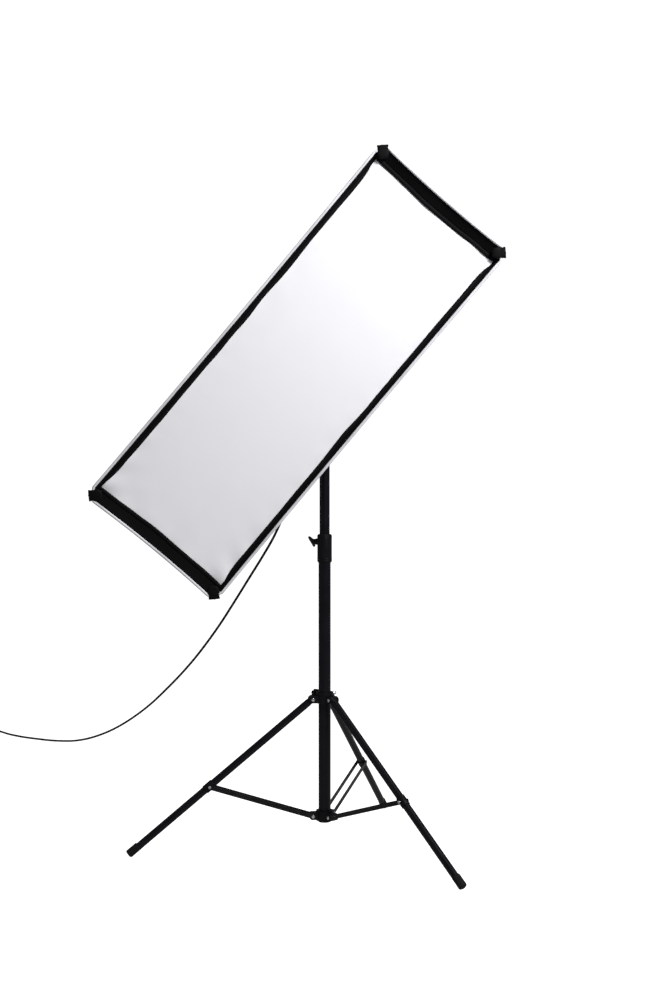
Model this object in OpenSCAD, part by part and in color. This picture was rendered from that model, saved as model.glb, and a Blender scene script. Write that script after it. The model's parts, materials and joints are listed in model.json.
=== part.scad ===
// A strip softbox on a studio lamp head, on a folding three-legged stand.
// The origin is on the floor under the column; +Z is up and the softbox faces -Y.

/* [Legs] */
// Distance from the column's axis to each foot
foot_reach = 475; // [460:1:490]
// Outer diameter of a leg tube
leg_d = 18; // [16:0.5:18]
// Height of the leg hinges when the stand is open
leg_hinge_z = 369; // [365:1:375]
// Height of the brace pivots on the lower collar
brace_hinge_z = 82; // [80:1:84]
// Distance of both rings of pivots from the column's axis
hinge_r = 31; // [30:0.5:34]
// Direction of the first leg, seen from above
first_leg_angle = 190; // [185:1:195]

/* [Column] */
// Outer diameter of the lower tube
lower_d = 30; // [30:1:30]
// Outer diameter of the upper tube
upper_d = 25; // [25:1:25]
// Height of the lower tube's top end
lower_top = 745; // [740:1:750]
// Height of the upper tube's top end
upper_top = 998; // [995:1:1000]

/* [Lamp head] */
// Width of the lamp head's casing
head_w = 110; // [100:1:112]
// Height of the lamp head's casing
head_h = 120; // [110:1:124]
// Height of the tilt pivot
pivot_z = 1163; // [1155:1:1170]
// Sideways distance from the column's axis to the optical axis
head_off = 79; // [78:1:84]
// Direction of the lamp, turned from straight ahead
pan_at_rest = 3.6; // [0:0.1:10]
// Downward tilt of the lamp
tilt_at_rest = 3.8; // [0:0.2:8]

/* [Softbox] */
// Half of the frame's length at the front
box_u = 508; // [480:1:520]
// Half of the frame's width at the front
box_v = 184; // [175:1:190]
// Distance from the tilt pivot to the front of the frame
box_front = 350; // [340:1:360]
// How deep the white front sits behind the frame's edge
recess = 14; // [10:1:20]
// Turn of the softbox's long axis above the horizontal
roll_at_rest = 50.1; // [30:0.1:60]

/* [Lead] */
// Diameter of the mains lead
lead_d = 7; // [6:0.5:7]

/* [Hidden] */
$fn = 48;

BLACK = [0.035, 0.035, 0.045];
TUBE = [0.09, 0.09, 0.12];
STEEL = [0.72, 0.73, 0.75];
CLOTH = [0.05, 0.05, 0.06];
WHITE = [0.93, 0.93, 0.95];

run = 0.05;                      // running clearance of a pin or shaft
gap = 0.3;                       // room between parts that move past each other
leg_angles = [for (i = [0:2]) first_leg_angle + 120 * i];

// The open legs, worked out from where the feet stand.
foot_axis_z = 8.2;
leg_rise = leg_hinge_z - foot_axis_z;
leg_run = foot_reach - hinge_r;
leg_len = sqrt(leg_rise * leg_rise + leg_run * leg_run);
leg_open = atan2(leg_run, leg_rise);
knuckle_r = 8.5;
pin_r = 2.5;

// A brace reaches the leg at a point that also closes when the stand is folded.
brace_at = 327;
brace_x = brace_at * sin(leg_open);
brace_z = leg_hinge_z - brace_at * cos(leg_open) - brace_hinge_z;
brace_len = sqrt(brace_x * brace_x + brace_z * brace_z);
brace_open = atan2(brace_x, brace_z);
strap_in = 11.2;                 // inner face of each strap from the leg's middle plane
strap_t = 2;
strap_h = 11;

lower_r = lower_d / 2;
upper_r = upper_d / 2;
collar_r = 21;
lower_wall = 1.6;
column_bottom = 72;
spigot_r = 8;
spigot_top = 1043;
socket_z = 1010;                 // underside of the bracket's socket

arm_t = 10;                      // the bracket's single side arm
arm_in = head_off - arm_t / 2;   // its near face, from the optical axis
bolt_r = 5;

wall = 2.5;                      // the lamp head's casing
casing_front = -78;
casing_back = 112;
barrel_r = 58;                   // the collar that the softbox turns on
ring_r = 78;
ring_front = -112;
ring_back = -104.2;

back_half = 84;                  // half of the cloth's square opening at the back
cloth_back = -102;
cloth_front = -box_front + 3.4;
rod_r = 2.5;
rod_foot = [52, 52, -108];
rod_tip = [box_u - 17.5, box_v - 7, -box_front + 5];

// The lead, from the lamp head's connector to the coil on the floor: x, y, z of each point.
lead_r = lead_d / 2;
lead_route = [
    [-62, 157.2, 1134.3], [-64, 171, 1131], [-66, 187, 1121], [-68, 200, 1104], [-70, 209, 1080], [-71, 215, 1050],
    [-74, 227, 1020], [-78, 241, 985], [-86, 263, 935], [-97, 293, 880], [-112, 330, 825],
    [-140, 371, 762], [-175, 420, 703], [-215, 476, 641], [-260, 538, 571], [-305, 600, 503],
    [-350, 662, 441], [-395, 724, 384], [-445, 793, 327], [-495, 862, 275], [-548, 934, 223],
    [-602, 1007, 177], [-655, 1080, 137], [-710, 1154, 101], [-765, 1228, 71], [-820, 1303, 46],
    [-875, 1376, 27], [-930, 1447, 14], [-985, 1506, 6], [-1040, 1548, 4], [-1100, 1588, 4],
    [-1160, 1644, 4], [-1200, 1694, 4], [-1237, 1740, 4]
];
pan_at = 5;                      // the point where the lead leaves the bracket
mast_at = 10;                    // the point where it leaves the mast
coil_at = [-1293, 1731];
coil_mean_r = 38;
coil_w = 28;
coil_h = 15;
lead_sides = 8;
lead_steps = 2;

// ---------- places ----------

module at_leg_hinge(i) {
    rotate([0, 0, leg_angles[i]])
        translate([hinge_r, 0, leg_hinge_z])
            children();
}

// Along a leg: the hinge is at the origin and the leg runs down its own -Z.
module at_leg(i) {
    at_leg_hinge(i) rotate([0, -leg_open, 0]) children();
}

// Along a brace: its lower pivot is at the origin and it runs up its own +Z.
module at_brace(i) {
    rotate([0, 0, leg_angles[i]])
        translate([hinge_r, 0, brace_hinge_z])
            rotate([0, brace_open, 0])
                children();
}

module at_bracket() {
    rotate([0, 0, pan_at_rest]) children();
}

// The lamp head's frame: the origin is on the optical axis beside the tilt pivot.
module at_head() {
    at_bracket() translate([-head_off, 0, pivot_z]) rotate([tilt_at_rest, 0, 0]) children();
}

// The softbox's frame: X along its length, Z across it.
module at_box() {
    at_head() rotate([0, -roll_at_rest, 0]) children();
}

// ---------- shapes that repeat ----------

module tube(r, r_in, z0, z1) {
    translate([0, 0, z0]) difference() {
        cylinder(r = r, h = z1 - z0);
        translate([0, 0, -1]) cylinder(r = r_in, h = z1 - z0 + 2);
    }
}

// A round bar along Y from y0 to y1.
module bar_y(r, y0, y1, x = 0, z = 0) {
    translate([x, y1, z]) rotate([90, 0, 0]) cylinder(r = r, h = y1 - y0);
}

module ring_y(r, r_in, y0, y1) {
    difference() {
        bar_y(r, y0, y1);
        bar_y(r_in, y0 - 1, y1 + 1);
    }
}

// A round bar along X from x0 to x1.
module bar_x(r, x0, x1, y = 0, z = 0) {
    translate([x0, y, z]) rotate([0, 90, 0]) cylinder(r = r, h = x1 - x0);
}

module block(low, high) {
    translate(low) cube(high - low);
}

module round_rect(w, h, r) {
    square([w - 2 * r, h], center = true);
    square([w, h - 2 * r], center = true);
    for (x = [-1, 1], y = [-1, 1])
        translate([x * (w / 2 - r), y * (h / 2 - r)]) circle(r);
}

// A plate of the casing's outline, from y0 to y1.
module casing_plate(w, h, r, y0, y1) {
    translate([0, y1, 0]) rotate([90, 0, 0]) linear_extrude(y1 - y0) round_rect(w, h, r);
}

// A thumb screw along +X: stem, boss and two wings, turned about its own axis.
module wing_screw(stem_r, tip, seat, span, turn) {
    bar_x(stem_r, tip, seat + 2);
    bar_x(7, seat, seat + 8);
    rotate([turn, 0, 0]) hull() {
        for (y = [-span, span])
            bar_x(3, seat + 11, seat + 15, y);
        bar_x(2, seat + 3, seat + 5);
    }
}

// A round knob along +X with grip flutes.
module fluted_knob(stem_r, tip, seat, knob_r, knob_t) {
    bar_x(stem_r, tip, seat + 1);
    difference() {
        bar_x(knob_r, seat, seat + knob_t);
        for (a = [0:60:300])
            rotate([a, 0, 0]) bar_x(3, seat - 1, seat + knob_t + 1, knob_r + 1.4);
    }
}

// ---------- the swept lead ----------

function spline(p0, p1, p2, p3, t) = 0.5 * (2 * p1 + t * (p2 - p0)
    + t * t * (2 * p0 - 5 * p1 + 4 * p2 - p3)
    + t * t * t * (3 * p1 - p0 - 3 * p2 + p3));
function point_at(route, i) = route[max(0, min(len(route) - 1, i))];
function smooth(route) = [
    for (i = [0:len(route) - 2], k = [0:lead_steps - 1])
        spline(point_at(route, i - 1), route[i], route[i + 1], point_at(route, i + 2), k / lead_steps),
    route[len(route) - 1]
];
function unit(v) = v / norm(v);
function heading(path, i) =
    unit(path[min(len(path) - 1, i + 1)] - path[max(0, i - 1)]);
function across(d) = unit(cross(d, [0.6, 0.8, 0]));
function ring_at(p, d) = [
    for (k = [0:lead_sides - 1])
        p + lead_r * (cos(360 * k / lead_sides) * across(d) + sin(360 * k / lead_sides) * cross(d, across(d)))
];

// The stretch of the lead between two points of its route.
module lead(from, to) {
    path = smooth(lead_route);
    n = (to - from) * lead_steps + 1;
    points = [
        for (i = [0:n - 1])
            let (j = from * lead_steps + i)
                each ring_at(path[j], heading(path, j))
    ];
    sides = [
        for (i = [0:n - 2], k = [0:lead_sides - 1])
            let (j = (k + 1) % lead_sides)
                [i * lead_sides + k, i * lead_sides + j, (i + 1) * lead_sides + j, (i + 1) * lead_sides + k]
    ];
    first = [for (k = [lead_sides - 1:-1:0]) k];
    last = [for (k = [0:lead_sides - 1]) (n - 1) * lead_sides + k];
    color(BLACK) polyhedron(points, concat([first], sides, [last]), convexity = 10);
}

// ---------- stand ----------

module column_lower() {
    color(TUBE) tube(lower_r, lower_r - lower_wall, column_bottom, lower_top);
}

module column_plug() {
    color(BLACK) {
        translate([0, 0, column_bottom - 6]) cylinder(r = lower_r, h = 6);
        translate([0, 0, column_bottom - 1]) cylinder(r = lower_r - lower_wall - run, h = 14);
    }
}

module spreader_collar() {
    color(BLACK) difference() {
        union() {
            translate([0, 0, 70]) cylinder(r = collar_r, h = 25);
            for (a = leg_angles)
                rotate([0, 0, a]) {
                    block([10, -strap_in + gap, 73], [hinge_r, strap_in - gap, 91]);
                    translate([hinge_r, strap_in - gap, brace_hinge_z])
                        rotate([90, 0, 0]) cylinder(r = 9, h = 2 * (strap_in - gap));
                }
        }
        translate([0, 0, 60]) cylinder(r = lower_r + run, h = 50);
        for (a = leg_angles)
            rotate([0, 0, a]) bar_y(pin_r, -20, 20, hinge_r, brace_hinge_z);
    }
}

module spreader_pins() {
    color(STEEL) for (a = leg_angles)
        rotate([0, 0, a]) {
            bar_y(pin_r, -15.2, 15.2, hinge_r, brace_hinge_z);
            for (s = [-1, 1])
                bar_y(4, s * 14.6 - 1.2, s * 14.6 + 1.2, hinge_r, brace_hinge_z);
        }
}

module column_clamp() {
    color(BLACK) difference() {
        union() {
            translate([0, 0, 709]) cylinder(r = 18, h = 64);
            translate([0, 0, 706]) cylinder(r1 = 16.5, r2 = 18, h = 3);
            translate([0, 0, 773]) cylinder(r1 = 18, r2 = 15.5, h = 3);
            rotate([0, 0, 155]) bar_x(8, 12, 22, 0, 757);
        }
        translate([0, 0, 700]) cylinder(r = lower_r, h = lower_top - 700);
        translate([0, 0, 700]) cylinder(r = upper_r + run, h = 90);
        rotate([0, 0, 155]) bar_x(3 + run, 5, 30, 0, 757);
    }
}

module clamp_knob() {
    color(BLACK) rotate([0, 0, 155]) translate([0, 0, 757])
        wing_screw(3, upper_r + 0.4, 22.3, 17, 38);
}

module leg_collar() {
    plate_in = leg_d / 2 + gap;
    color(BLACK) difference() {
        union() {
            translate([0, 0, 359]) cylinder(r = collar_r, h = 28);
            for (a = leg_angles, s = [-1, 1])
                rotate([0, 0, a]) {
                    y0 = s > 0 ? plate_in : -plate_in - 3.2;
                    block([14, y0, 360], [hinge_r, y0 + 3.2, 378]);
                    bar_y(9, y0, y0 + 3.2, hinge_r, leg_hinge_z);
                }
            rotate([0, 0, 130]) bar_x(7, 14, 25, 0, 378);
        }
        translate([0, 0, 350]) cylinder(r = lower_r + run, h = 50);
        for (a = leg_angles)
            rotate([0, 0, a]) bar_y(pin_r, -20, 20, hinge_r, leg_hinge_z);
        rotate([0, 0, 130]) bar_x(3 + run, 5, 30, 0, 378);
        rotate([0, 0, 20]) bar_x(2.5, 17, 30, 0, 383);
    }
}

module leg_collar_pins() {
    color(STEEL) {
        for (a = leg_angles)
            rotate([0, 0, a]) {
                bar_y(pin_r, -13.6, 13.6, hinge_r, leg_hinge_z);
                for (s = [-1, 1])
                    bar_y(4, s * 13.7 - 1.1, s * 13.7 + 1.1, hinge_r, leg_hinge_z);
            }
        rotate([0, 0, 20]) {
            bar_x(2.5, 17, 24, 0, 383);
            bar_x(3.4, 21.2, 30, 0, 383);
        }
    }
}

module leg_collar_knob() {
    color(BLACK) rotate([0, 0, 130]) translate([0, 0, 378])
        fluted_knob(3, lower_r + 0.4, 25.3, 12, 13);
}

module leg_tube(i) {
    color(TUBE) at_leg(i) rotate([180, 0, 0]) tube(leg_d / 2, leg_d / 2 - 1.2, 11, leg_len - 6);
}

// The plastic knuckle in the top of a leg, and the sleeve that its brace bears on.
module leg_end(i) {
    color(BLACK) at_leg(i) {
        difference() {
            union() {
                bar_y(knuckle_r, -leg_d / 2, leg_d / 2);
                rotate([180, 0, 0]) cylinder(r = leg_d / 2 - 0.6, h = 10.8);
                rotate([180, 0, 0]) translate([0, 0, 10]) cylinder(r = leg_d / 2 - 1.3, h = 18);
            }
            bar_y(pin_r + run, -20, 20);
        }
        rotate([180, 0, 0]) tube(leg_d / 2 + 1.7, leg_d / 2, brace_at - 13, brace_at + 13);
    }
}

module leg_foot(i) {
    color(BLACK) difference() {
        at_leg(i) rotate([180, 0, 0]) difference() {
            translate([0, 0, leg_len - 26]) cylinder(r = leg_d / 2 + 1.3, h = 31);
            translate([0, 0, leg_len - 27]) cylinder(r = leg_d / 2, h = 21);
        }
        translate([-700, -700, -50]) cube([1400, 1400, 50]);
    }
}

module brace(i) {
    color(BLACK) at_brace(i) for (s = [-1, 1]) {
        y0 = s > 0 ? strap_in : -strap_in - strap_t;
        difference() {
            union() {
                block([-strap_h / 2, y0, 0], [strap_h / 2, y0 + strap_t, brace_len]);
                bar_y(strap_h / 2, y0, y0 + strap_t);
                bar_y(strap_h / 2, y0, y0 + strap_t, 0, brace_len);
            }
            bar_y(pin_r + run, -20, 20);
            bar_y(pin_r + run, -20, 20, 0, brace_len);
        }
    }
}

// ---------- mast ----------

module column_upper() {
    color(TUBE) tube(upper_r, upper_r - 1.5, 330, upper_top);
}

module mast_bushes() {
    color(BLACK) {
        difference() {
            union() {
                translate([0, 0, 322]) cylinder(r = lower_r - lower_wall - run, h = 8);
                translate([0, 0, 329]) cylinder(r = upper_r - 1.5 - run, h = 20);
            }
            translate([0, 0, 320]) cylinder(r = 6, h = 40);
        }
        difference() {
            union() {
                translate([0, 0, upper_top]) cylinder(r1 = upper_r + 1.2, r2 = upper_r - 0.5, h = 8);
                translate([0, 0, upper_top - 24]) cylinder(r = upper_r - 1.5 - run, h = 25);
            }
            translate([0, 0, upper_top - 30]) cylinder(r = spigot_r + run, h = 50);
        }
    }
}

module spigot() {
    color(STEEL) difference() {
        union() {
            translate([0, 0, upper_top - 24]) cylinder(r = spigot_r, h = spigot_top - upper_top + 22);
            translate([0, 0, spigot_top - 2]) cylinder(r1 = spigot_r, r2 = spigot_r - 2, h = 2);
        }
        tube(spigot_r + 1, spigot_r - 1.2, 1022, 1034);
    }
}

// ---------- bracket ----------

module bracket_socket() {
    color(BLACK) at_bracket() difference() {
        union() {
            translate([0, 0, socket_z]) cylinder(r = 17, h = 38);
            block([-17, -16, 1047], [17, 16, 1062]);
            block([arm_t / 2 + 0.2, -14, 1061], [15, 14, 1094]);
            bar_y(8, 10, 24, 0, 1028);
        }
        translate([0, 0, socket_z - 1]) cylinder(r = spigot_r + run, h = spigot_top - socket_z + 2);
        bar_y(3 + run, 5, 30, 0, 1028);
        bar_y(4.1, -20, 20, 0, 1054.5);
        for (y = [-7, 7])
            bar_x(3, 0, 20, y, 1080);
    }
}

module bracket_arm() {
    color(BLACK) at_bracket() difference() {
        union() {
            block([-arm_t / 2, -16, 1062.2], [arm_t / 2, 16, pivot_z]);
            bar_x(21, -arm_t / 2, arm_t / 2, 0, pivot_z);
        }
        bar_x(bolt_r + run, -10, 10, 0, pivot_z);
        for (y = [-7, 7])
            bar_x(3, -10, 10, y, 1080);
    }
}

module bracket_bolts() {
    color(STEEL) at_bracket() for (y = [-7, 7]) {
        bar_x(3, -arm_t / 2 - 1, 16, y, 1080);
        bar_x(5, 15, 19, y, 1080);
        bar_x(5, -arm_t / 2 - 5, -arm_t / 2, y, 1080);
    }
}

module spigot_knob() {
    color(BLACK) at_bracket() translate([0, 0, 1028]) rotate([0, 0, 90])
        fluted_knob(3, spigot_r + 0.1, 24.3, 13, 14);
}

module tilt_lever() {
    color(BLACK) at_bracket() translate([0, 0, pivot_z]) difference() {
        union() {
            bar_x(13, 7, 19);
            hull() {
                bar_x(8, 9, 16);
                bar_x(5, 16, 22, 40, -52);
            }
            bar_x(17, 5.3, 7);
        }
        bar_x(bolt_r + run, 0, 30);
    }
}

// The bolt that the lamp head turns on; its near end sits in the head's boss.
module pivot_bolt() {
    color(STEEL) at_bracket() translate([0, 0, pivot_z]) {
        bar_x(bolt_r, head_w / 2 + 1 - head_off, 24);
        bar_x(8, 20, 24);
    }
}

// ---------- lamp head ----------

module half_casing(side) {
    translate([0, casing_back, 0]) rotate([90, 0, 0]) linear_extrude(casing_back - casing_front)
        difference() {
            round_rect(head_w, head_h, 14);
            round_rect(head_w - 2 * wall, head_h - 2 * wall, 14 - wall);
            translate([side > 0 ? -head_w : 0, -head_h]) square([head_w, 2 * head_h]);
        }
}

module casing_vents(side) {
    for (k = [0:5], z = [-26, 26])
        translate([side * head_w / 2, 40 + k * 10, z]) cube([12, 3.5, 26], center = true);
}

module left_shell() {
    color(BLACK) at_head() difference() {
        translate([-0.1, 0, 0]) half_casing(-1);
        casing_vents(-1);
    }
}

module right_shell() {
    color(BLACK) at_head() difference() {
        union() {
            translate([0.1, 0, 0]) half_casing(1);
            bar_x(24, head_w / 2 - 0.5, arm_in - gap);
        }
        bar_x(bolt_r + run, 40, 100);
        casing_vents(1);
    }
}

module front_bezel() {
    color(BLACK) at_head() difference() {
        union() {
            casing_plate(head_w + 2, head_h + 2, 15, casing_front - 12, casing_front - 0.2);
            bar_y(64, casing_front - 20, casing_front - 11);
        }
        bar_y(46, -110, 0);
        for (a = [0, 120, 240])
            rotate([0, a, 0]) block([-7, -110, 56], [7, casing_front - 15, 70]);
    }
}

// The adapter that locks onto the lamp, and the clip that keeps the turning ring on it.
module bayonet_insert() {
    color(STEEL) at_head() {
        ring_y(70, 50, -104, casing_front - 20.2);
        ring_y(barrel_r, 50, -116, -103.9);
        ring_y(barrel_r + 5, barrel_r + run, -115.5, ring_front - gap);
    }
}

module rear_panel() {
    color(BLACK) at_head() difference() {
        casing_plate(head_w + 2, head_h + 2, 15, casing_back + 0.2, casing_back + 6);
        block([11, 100, -52], [43, 130, -26]);
        block([-43, 100, -50], [-19, 130, -34]);
        bar_y(3 + run, 100, 130, -24, 14);
        bar_y(5 + run, 100, 130, 24, 14);
        for (x = [-20:8:20])
            block([x - 2, 100, 34], [x + 2, 130, 54]);
    }
}

module handle() {
    top = head_h / 2;
    color(BLACK) at_head() {
        for (y = [-38, 52])
            block([-10, y, top + 0.1], [10, y + 16, top + 30]);
        block([-10, -38, top + 28], [10, 68, top + 40]);
    }
}

module glass_dome() {
    color([0.9, 0.93, 0.95, 0.35]) at_head() rotate([90, 0, 0]) rotate_extrude() difference() {
        union() {
            translate([0, 70]) square([38, 30]);
            translate([0, 100]) circle(38);
        }
        translate([-50, 0]) square([50, 200]);
        translate([-1, 60]) square([36, 40]);
        translate([0, 100]) circle(35);
    }
}

module flash_tube() {
    color(WHITE) at_head() {
        rotate([90, 0, 0]) translate([0, 0, 96]) rotate_extrude() translate([26, 0]) circle(4);
        for (x = [-26, 26])
            bar_y(2.5, -92, -66, x);
    }
}

module modelling_lamp() {
    color(WHITE) at_head() {
        bar_y(12, -70, -50);
        bar_y(8, -112, -70);
        bar_y(3, -52, -46);
    }
}

module flash_board() {
    color([0.1, 0.3, 0.15]) at_head() {
        block([-46, -60, -50], [46, 70, -48.4]);
        for (x = [-24, 24])
            bar_y(18, -50, 40, x, -29);
        block([-30, 46, -48.2], [30, 66, -30]);
    }
}

module fan() {
    color(BLACK) at_head() {
        difference() {
            block([-40, 84, -22], [40, 104, 58 - wall - 1]);
            bar_y(34, 80, 110, 0, 17);
        }
        bar_y(14, 86, 102, 0, 17);
        for (a = [0:60:300])
            translate([0, 94, 17]) rotate([0, a, 0]) translate([12, 0, 0]) rotate([35, 0, 0])
                cube([20, 12, 1.4]);
    }
}

module power_inlet() {
    color(BLACK) at_head() difference() {
        union() {
            block([11.2, 92, -51.8], [42.8, 119, -26.2]);
            block([8, casing_back + 6.1, -55], [46, casing_back + 8.6, -23]);
        }
        block([14, 100, -49], [40, 130, -29]);
    }
}

module lead_connector() {
    color(BLACK) at_head() {
        block([14.4, 101, -48.6], [39.6, 134, -29.4]);
        translate([27, 133, -39]) rotate([-90, 0, 0]) cylinder(r1 = 7.5, r2 = 4.6, h = 24);
    }
}

module power_switch() {
    color(BLACK) at_head() translate([-31, casing_back + 3, -42]) {
        rotate([9, 0, 0]) block([-11.4, -3, -7.2], [11.4, 5, 7.2]);
        bar_x(2, -11.6, 11.6);
    }
}

module dimmer_knob() {
    color(BLACK) at_head() translate([-24, 0, 14]) rotate([0, 0, 90])
        fluted_knob(3, 106, casing_back + 6.6, 13, 13);
}

module test_button() {
    color(STEEL) at_head() {
        bar_y(5, 104, casing_back + 10, 24, 14);
        bar_y(6.5, 104, 108, 24, 14);
    }
}

// ---------- softbox ----------

function corner_signs() = [for (u = [-1, 1], v = [-1, 1]) [u, v]];

// Places children on one rod: its foot at the origin and the rod along +Z.
module along_rod(s) {
    foot = [s[0] * rod_foot[0], rod_foot[2], s[1] * rod_foot[1]];
    tip = [s[0] * rod_tip[0], rod_tip[2], s[1] * rod_tip[1]];
    d = tip - foot;
    translate(foot)
        rotate([0, acos(d[2] / norm(d)), atan2(d[1], d[0])])
            children();
}

rod_len = norm([rod_tip[0] - rod_foot[0], rod_tip[1] - rod_foot[1], rod_tip[2] - rod_foot[2]]);

module speedring() {
    color(BLACK) at_box() difference() {
        union() {
            ring_y(ring_r, barrel_r + run, ring_front, ring_back);
            difference() {
                for (s = corner_signs())
                    along_rod(s) translate([0, 0, -3]) cylinder(r = 6.5, h = 27);
                bar_y(barrel_r + 1, -200, -90);
                block([-100, ring_back, -100], [100, -60, 100]);
            }
        }
        for (s = corner_signs())
            along_rod(s) cylinder(r = rod_r + run, h = 40);
        bar_x(2.5 + run, 50, 100, (ring_front + ring_back) / 2);
    }
}

module ring_lock() {
    color(STEEL) at_box() translate([0, (ring_front + ring_back) / 2, 0]) {
        bar_x(2.5, barrel_r + 0.4, 82);
        bar_x(3.6, 79, 82);
    }
}

module rods() {
    color(STEEL) at_box() for (s = corner_signs())
        along_rod(s) cylinder(r = rod_r, h = rod_len);
}

// How far the cloth reaches along and across the box at depth y.
function share(y) = (cloth_back - y) / (cloth_back + box_front);
function reach_u(y) = back_half + (box_u - back_half) * share(y);
function reach_v(y) = back_half + (box_v - back_half) * share(y);
long_t = 1.5;
end_t = 3;

module wedge(points) {
    polyhedron(points, [
        [0, 1, 2, 3], [7, 6, 5, 4], [0, 4, 5, 1], [1, 5, 6, 2], [2, 6, 7, 3], [3, 7, 4, 0]
    ]);
}

module long_panel() {
    wedge([for (y = [cloth_back, cloth_front], t = [0, long_t], u = t > 0 ? [1, -1] : [-1, 1])
        [u * reach_u(y), y, reach_v(y) - t]]);
}

module end_panel() {
    wedge([for (y = [cloth_back, cloth_front], t = [0, end_t], v = t > 0 ? [-1, 1] : [1, -1])
        [reach_u(y) - t, y, v * (reach_v(y) - long_t - gap)]]);
}

module shell_panels() {
    color(CLOTH) at_box() {
        long_panel();
        rotate([0, 180, 0]) long_panel();
        end_panel();
        rotate([0, 180, 0]) end_panel();
    }
}

module rear_collar() {
    color(CLOTH) at_box() difference() {
        block([-back_half, -101.8, -back_half], [back_half, -99.8, back_half]);
        bar_y(72, -110, -90);
    }
}

module rim_piping() {
    half = 3;
    color(WHITE) at_box() for (s = [-1, 1]) {
        bar_x(half, -box_u, box_u, -box_front, s * box_v);
        translate([s * box_u, -box_front, -box_v + half + gap])
            cylinder(r = half, h = 2 * (box_v - half - gap));
    }
}

module corner_pocket(s, r) {
    scale([s[0], 1, s[1]]) hull() {
        for (p = [[2, -12, 0], [-12, 2, 0], [-3, -28, 0], [-28, -2, 0], [-44, -14, 26]])
            translate([box_u + p[0], -box_front + p[2], box_v + p[1]]) sphere(r = r, $fn = 16);
    }
}

module corner_caps() {
    color(CLOTH) at_box() for (s = corner_signs()) corner_pocket(s, 3.4);
}

module diffuser() {
    y = -box_front + recess;
    u = reach_u(y) - end_t - 1.2;
    v = reach_v(y) - long_t - 0.6;
    color(WHITE) at_box() difference() {
        block([-u, y - 1, -v], [u, y + 0.4, v]);
        for (s = corner_signs()) {
            along_rod(s) cylinder(r = rod_r + 1.5, h = rod_len + 30);
            corner_pocket(s, 4.4);
        }
    }
}

module inner_baffle() {
    y = -225;
    u = reach_u(y) - 60;
    v = reach_v(y) - 40;
    color(WHITE) at_box() block([-u, y - 1, -v], [u, y, v]);
}

// ---------- what lies on the floor ----------

module cord_coil() {
    color(BLACK) translate([coil_at[0], coil_at[1], 0.1]) rotate_extrude()
        translate([coil_mean_r - coil_w / 2 + 5, 5]) {
            square([coil_w - 10, coil_h - 10]);
            translate([-5, 0]) square([coil_w, coil_h - 10]);
            translate([0, -5]) square([coil_w - 10, coil_h]);
            for (x = [0, coil_w - 10], z = [0, coil_h - 10])
                translate([x, z]) circle(5);
        }
}

module mains_plug() {
    color(BLACK) translate([coil_at[0] - 8.5, coil_at[1] + 111.2, 0]) rotate([0, 0, 120]) {
        difference() {
            translate([0, 0, 18]) rotate([0, 90, 0]) cylinder(r = 18, h = 36);
            block([-5, -25, -5], [40, 25, 3.5]);
            block([-5, -25, 32], [40, 25, 45]);
        }
        translate([-28, 0, 18]) rotate([0, 90, 0]) cylinder(r1 = 4.6, r2 = 8, h = 29);
        for (y = [-9.5, 9.5])
            translate([35, y, 18]) rotate([0, 90, 0]) cylinder(r = 2.4, h = 20);
    }
}

column_lower();
column_plug();
spreader_collar();
spreader_pins();
column_clamp();
clamp_knob();
leg_collar();
leg_collar_pins();
leg_collar_knob();
leg_tube(0);  // leg_tube_a
leg_tube(1);  // leg_tube_b
leg_tube(2);  // leg_tube_c
leg_end(0);  // leg_end_a
leg_end(1);  // leg_end_b
leg_end(2);  // leg_end_c
leg_foot(0);  // leg_foot_a
leg_foot(1);  // leg_foot_b
leg_foot(2);  // leg_foot_c
brace(0);  // brace_a
brace(1);  // brace_b
brace(2);  // brace_c
column_upper();
mast_bushes();
spigot();
bracket_socket();
bracket_arm();
bracket_bolts();
spigot_knob();
tilt_lever();
pivot_bolt();
left_shell();
right_shell();
front_bezel();
bayonet_insert();
rear_panel();
handle();
glass_dome();
flash_tube();
modelling_lamp();
flash_board();
fan();
power_inlet();
lead_connector();
power_switch();
dimmer_knob();
test_button();
speedring();
ring_lock();
rods();
shell_panels();
rear_collar();
rim_piping();
corner_caps();
diffuser();
inner_baffle();
lead(0, pan_at);  // cord_tail
lead(pan_at, mast_at);  // cord_upper
lead(mast_at, len(lead_route) - 1);  // cord_drop
cord_coil();
mains_plug();
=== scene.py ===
"""A strip softbox on a studio lamp head and a folding stand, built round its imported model.

Lengths are in metres. Each piece is made in the local frame of what it belongs to, with the
optical axis along Y, and its mesh is then carried to its place.
"""

import json
import math

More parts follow.
